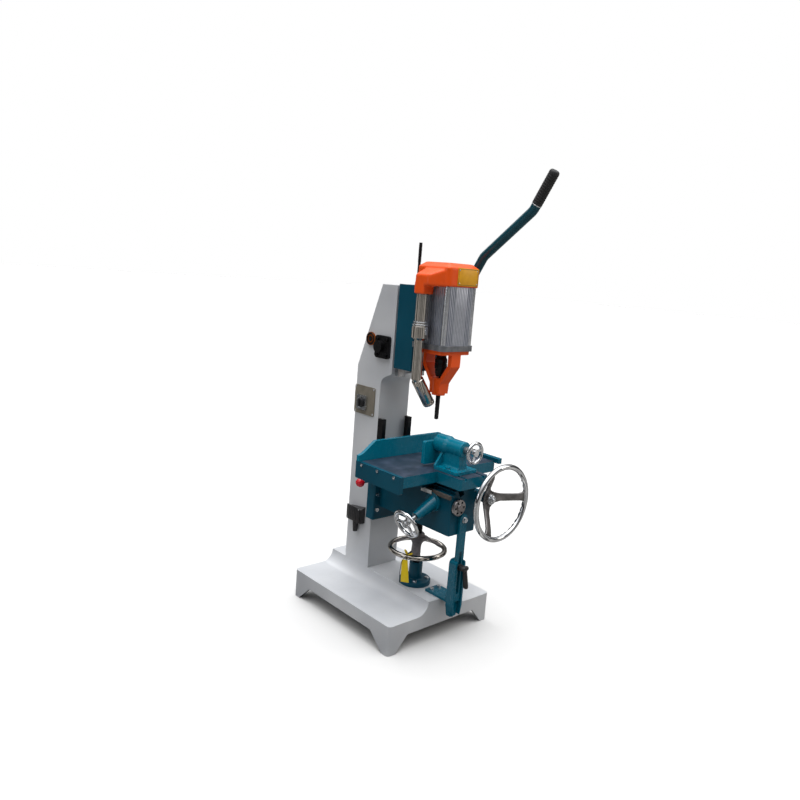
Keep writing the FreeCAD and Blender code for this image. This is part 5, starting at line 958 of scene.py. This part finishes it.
knob = turned("switch_knob_body", knob_place, -X,
              [(15.5, 0), (17, 1), (17, 4.5), (15.5, 6), (12.5, 6.5), (12.5, 9), (11.5, 9.5)], 40)
pick(in_flute)
bpy.ops.transform.resize(value=(1, FLUTE_DEPTH, FLUTE_DEPTH), center_override=knob_place)
handle = block("switch_handle", at(-88.5, 133.5, 695.5), at(-79, 140.5, 720.5), 2.2)
done(joined([knob, handle]), "switch", "black_plastic", black_plastic, "switch_knob")
screws = []
for y in (81, 174):
    for z in (674, 759):
        rings = [(3.6, 0), (3.5, 0.8), (2.6, 1.7), (1.2, 2)]
        screws.append(turned("plate_screw", at(-68, y, z), -X, rings, 20))
done(joined(screws), "root", "chrome_plate", bright_zinc)
print("switch ready")

# %% [markdown]
# A bronze bush closes the cross bore behind the switch. Two black rings are let into its face.

# %% Bush rings
bush = at(-65, 114.5, 928)
outer_ring = turned("bush_ring", bush, -X, [(19.5, 5.6), (19.3, 6.8), (15, 6.8), (14.8, 5.6)], 40,
                    hollow=True)
inner_disc = turned("bush_centre", bush, -X, [(8.6, 5.6), (8.4, 6.9), (6, 7.2), (2, 7.3)], 32)
done(joined([outer_ring, inner_disc]), "root", "black_oxide", black_oxide)
print("bush ready")

# %% [markdown]
# The inlet box is moulded in two halves. A ribbed lid stands proud of the box, and two screws hold it.

# %% Inlet box
lid = block("inlet_lid", at(-90.5, 87.5, 292.5), at(-86, 157.5, 345.5), 2.4)
rib_blocks = [block("inlet_rib", at(-91.6, y, 300), at(-89.8, y + 3, 338), 0.7, 2)
              for y in range(96, 142, 9)]
done(joined([lid] + rib_blocks), "root", "black_plastic", black_plastic)
lid_screws = [turned("inlet_screw", at(-90.3, y, z), -X, [(3.2, 0), (3.1, 0.7), (2.2, 1.4), (1, 1.6)], 20)
              for y, z in ((92.5, 341), (152.5, 297))]
done(joined(lid_screws), "root", "chrome_plate", bright_zinc)
print("inlet box ready")

# %% [markdown]
# ## Small things
# The brace is locked by a moulded lever: a short hub, an elbow spun through a quarter turn, and a grip that
# leans forward and thickens towards its end.

# %% Brace lever
GRIP_LEAN = 0.18
GRIP_STEPS = ((12, 1.08), (36, 1.14), (4, 0.8), (2.2, 0.5))
hub = turned("brace_lever_grip", at(-5, -315.4, 265), -Y,
             [(11, 0), (11, 2), (10, 2.2), (9.4, 16), (8.4, 25), (6, 27.4)], 32)
elbow = start("circle", "brace_lever_elbow", at(-8, -334, 265), radius=7 * MM, vertices=20,
              fill_type="NGON", rotation=(0, math.pi / 2, 0))
extrude((18 * MM, 0, 0))
bpy.ops.mesh.spin(steps=8, angle=math.pi / 2, center=at(10, -334, 256), axis=(0, 1, 0))
for step, swell in GRIP_STEPS:
    extrude((0, -step * GRIP_LEAN * MM, -step * MM))
    bpy.ops.transform.resize(value=(swell, swell, 1))
done(joined([hub, elbow]), "brace_clamp", "black_plastic", black_plastic, "brace_lever", smooth=50)
print("brace lever ready")

# %% [markdown]
# A blank vinyl tag hangs from the elevating wheel's rim on a string, tied with a ribbon bow. Each loop of the
# bow is a flattened ring.

# %% Tag
TAG_ANGLE = math.radians(207)
TAG_HEIGHT, TAG_TAPER, TAG_LEAN = 76, 0.72, 0.08
STRING = {"radius": 0.9 * MM, "vertices": 10, "fill_type": "NGON"}
outward = Vector((math.cos(TAG_ANGLE), math.sin(TAG_ANGLE), 0))
along = Z.cross(outward)
tag = block("wheel_tag", Vector((-14, -0.5, 0)) * MM, Vector((14, 0.5, TAG_HEIGHT)) * MM, 0.4, 2)
pick(lambda place: place.z > (TAG_HEIGHT - 6) * MM)
bpy.ops.transform.resize(value=(TAG_TAPER, 1, 1), center_override=(0, 0, 0))
tag_axis = (Z - along * TAG_LEAN).normalized()
settle(tag, at(0, -118, 176) + outward * 101 * MM, tag_axis, outward.cross(tag_axis).normalized())
done(tag, "lift", "fan_plastic", yellow_vinyl)


def strand(name, points):
    """A thin string drawn through places: a small circle extruded from each place to the next."""
    string = start("circle", name, points[0], **STRING)
    for here, there in zip(points, points[1:]):
        extrude(there - here)
    return string


knot = at(0, -118, 266) + outward * 94 * MM
hang = [knot] + [knot + (outward * out - along * aside - Z * drop) * MM for out, aside, drop in (
    (6, 6, 6), (8, 16, 24), (8, 19, 60), (7, 18, 96))]
loop = [knot, knot + (outward * 8 + along * 1 - Z * 5) * MM, knot + (outward * 7.6 - Z * 16) * MM]
strings = joined([strand("tag_string", hang), strand("tag_loop", loop)])
done(strings, "lift", "black_grip", black_grip)
bows = []
for side, lean_bow, tone in ((-1, 0.5, yellow_vinyl), (1, 0.25, black_plastic), (1, -0.5, yellow_vinyl)):
    clear()
    bpy.ops.mesh.primitive_torus_add(major_radius=8 * MM, minor_radius=1.5 * MM, major_segments=28,
                                     minor_segments=8)
    bow = bpy.context.object
    bow.name = "tag_bow"
    bpy.ops.object.mode_set(mode="EDIT")
    bpy.ops.transform.resize(value=(1, 0.5, 1.6))
    tip = (along * side + Z * (0.9 + lean_bow)).normalized()
    settle(bow, knot + tip * 9 * MM + Z * 2 * MM, outward.cross(tip).normalized(), tip)
    bows.append(done(bow, "lift", "fan_plastic", tone))
print("tag with", len(bows), "bow loops")

# %% [markdown]
# A plain pale floor carries the machine. It is stage, not part of the object. What it throws back onto the
# machine is the duller light of a workshop: bright in some directions, dark in others. That keeps the paint
# deep and draws upright streaks in the chrome.

# %% Floor
clear()
bpy.ops.mesh.primitive_plane_add(size=80, location=(0, 0, 0))
floor = bpy.context.object
floor.name = "floor"
floor_finish, floor_shader = new_finish("pale_floor", Roughness=0.85)
floor_place = object_place(floor_finish)
floor_tone = blend(floor_finish, noise(floor_finish, floor_place, 900, Detail=2.0), "#D7D7D7", "#D9D9D9")
floor_split = add_node(floor_finish, "ShaderNodeSeparateXYZ", Vector=floor_place).outputs
bearing = arithmetic(floor_finish, "ARCTAN2", floor_split["Y"], floor_split["X"])
patches = add_node(floor_finish, "ShaderNodeTexNoise", {"noise_dimensions": "1D"}, W=bearing, Scale=2.4,
                   Detail=1.0).outputs["Fac"]
floor_dull = blend(floor_finish, ranged(floor_finish, patches, 0.44, 0.56), "#0E0D0D", "#ACAAA6")
camera_ray = add_node(floor_finish, "ShaderNodeLightPath").outputs["Is Camera Ray"]
wire(floor_finish, floor_shader, Base_Color=blend(floor_finish, camera_ray, floor_dull, floor_tone))
floor.data.materials.append(floor_finish)
print("floor ready")
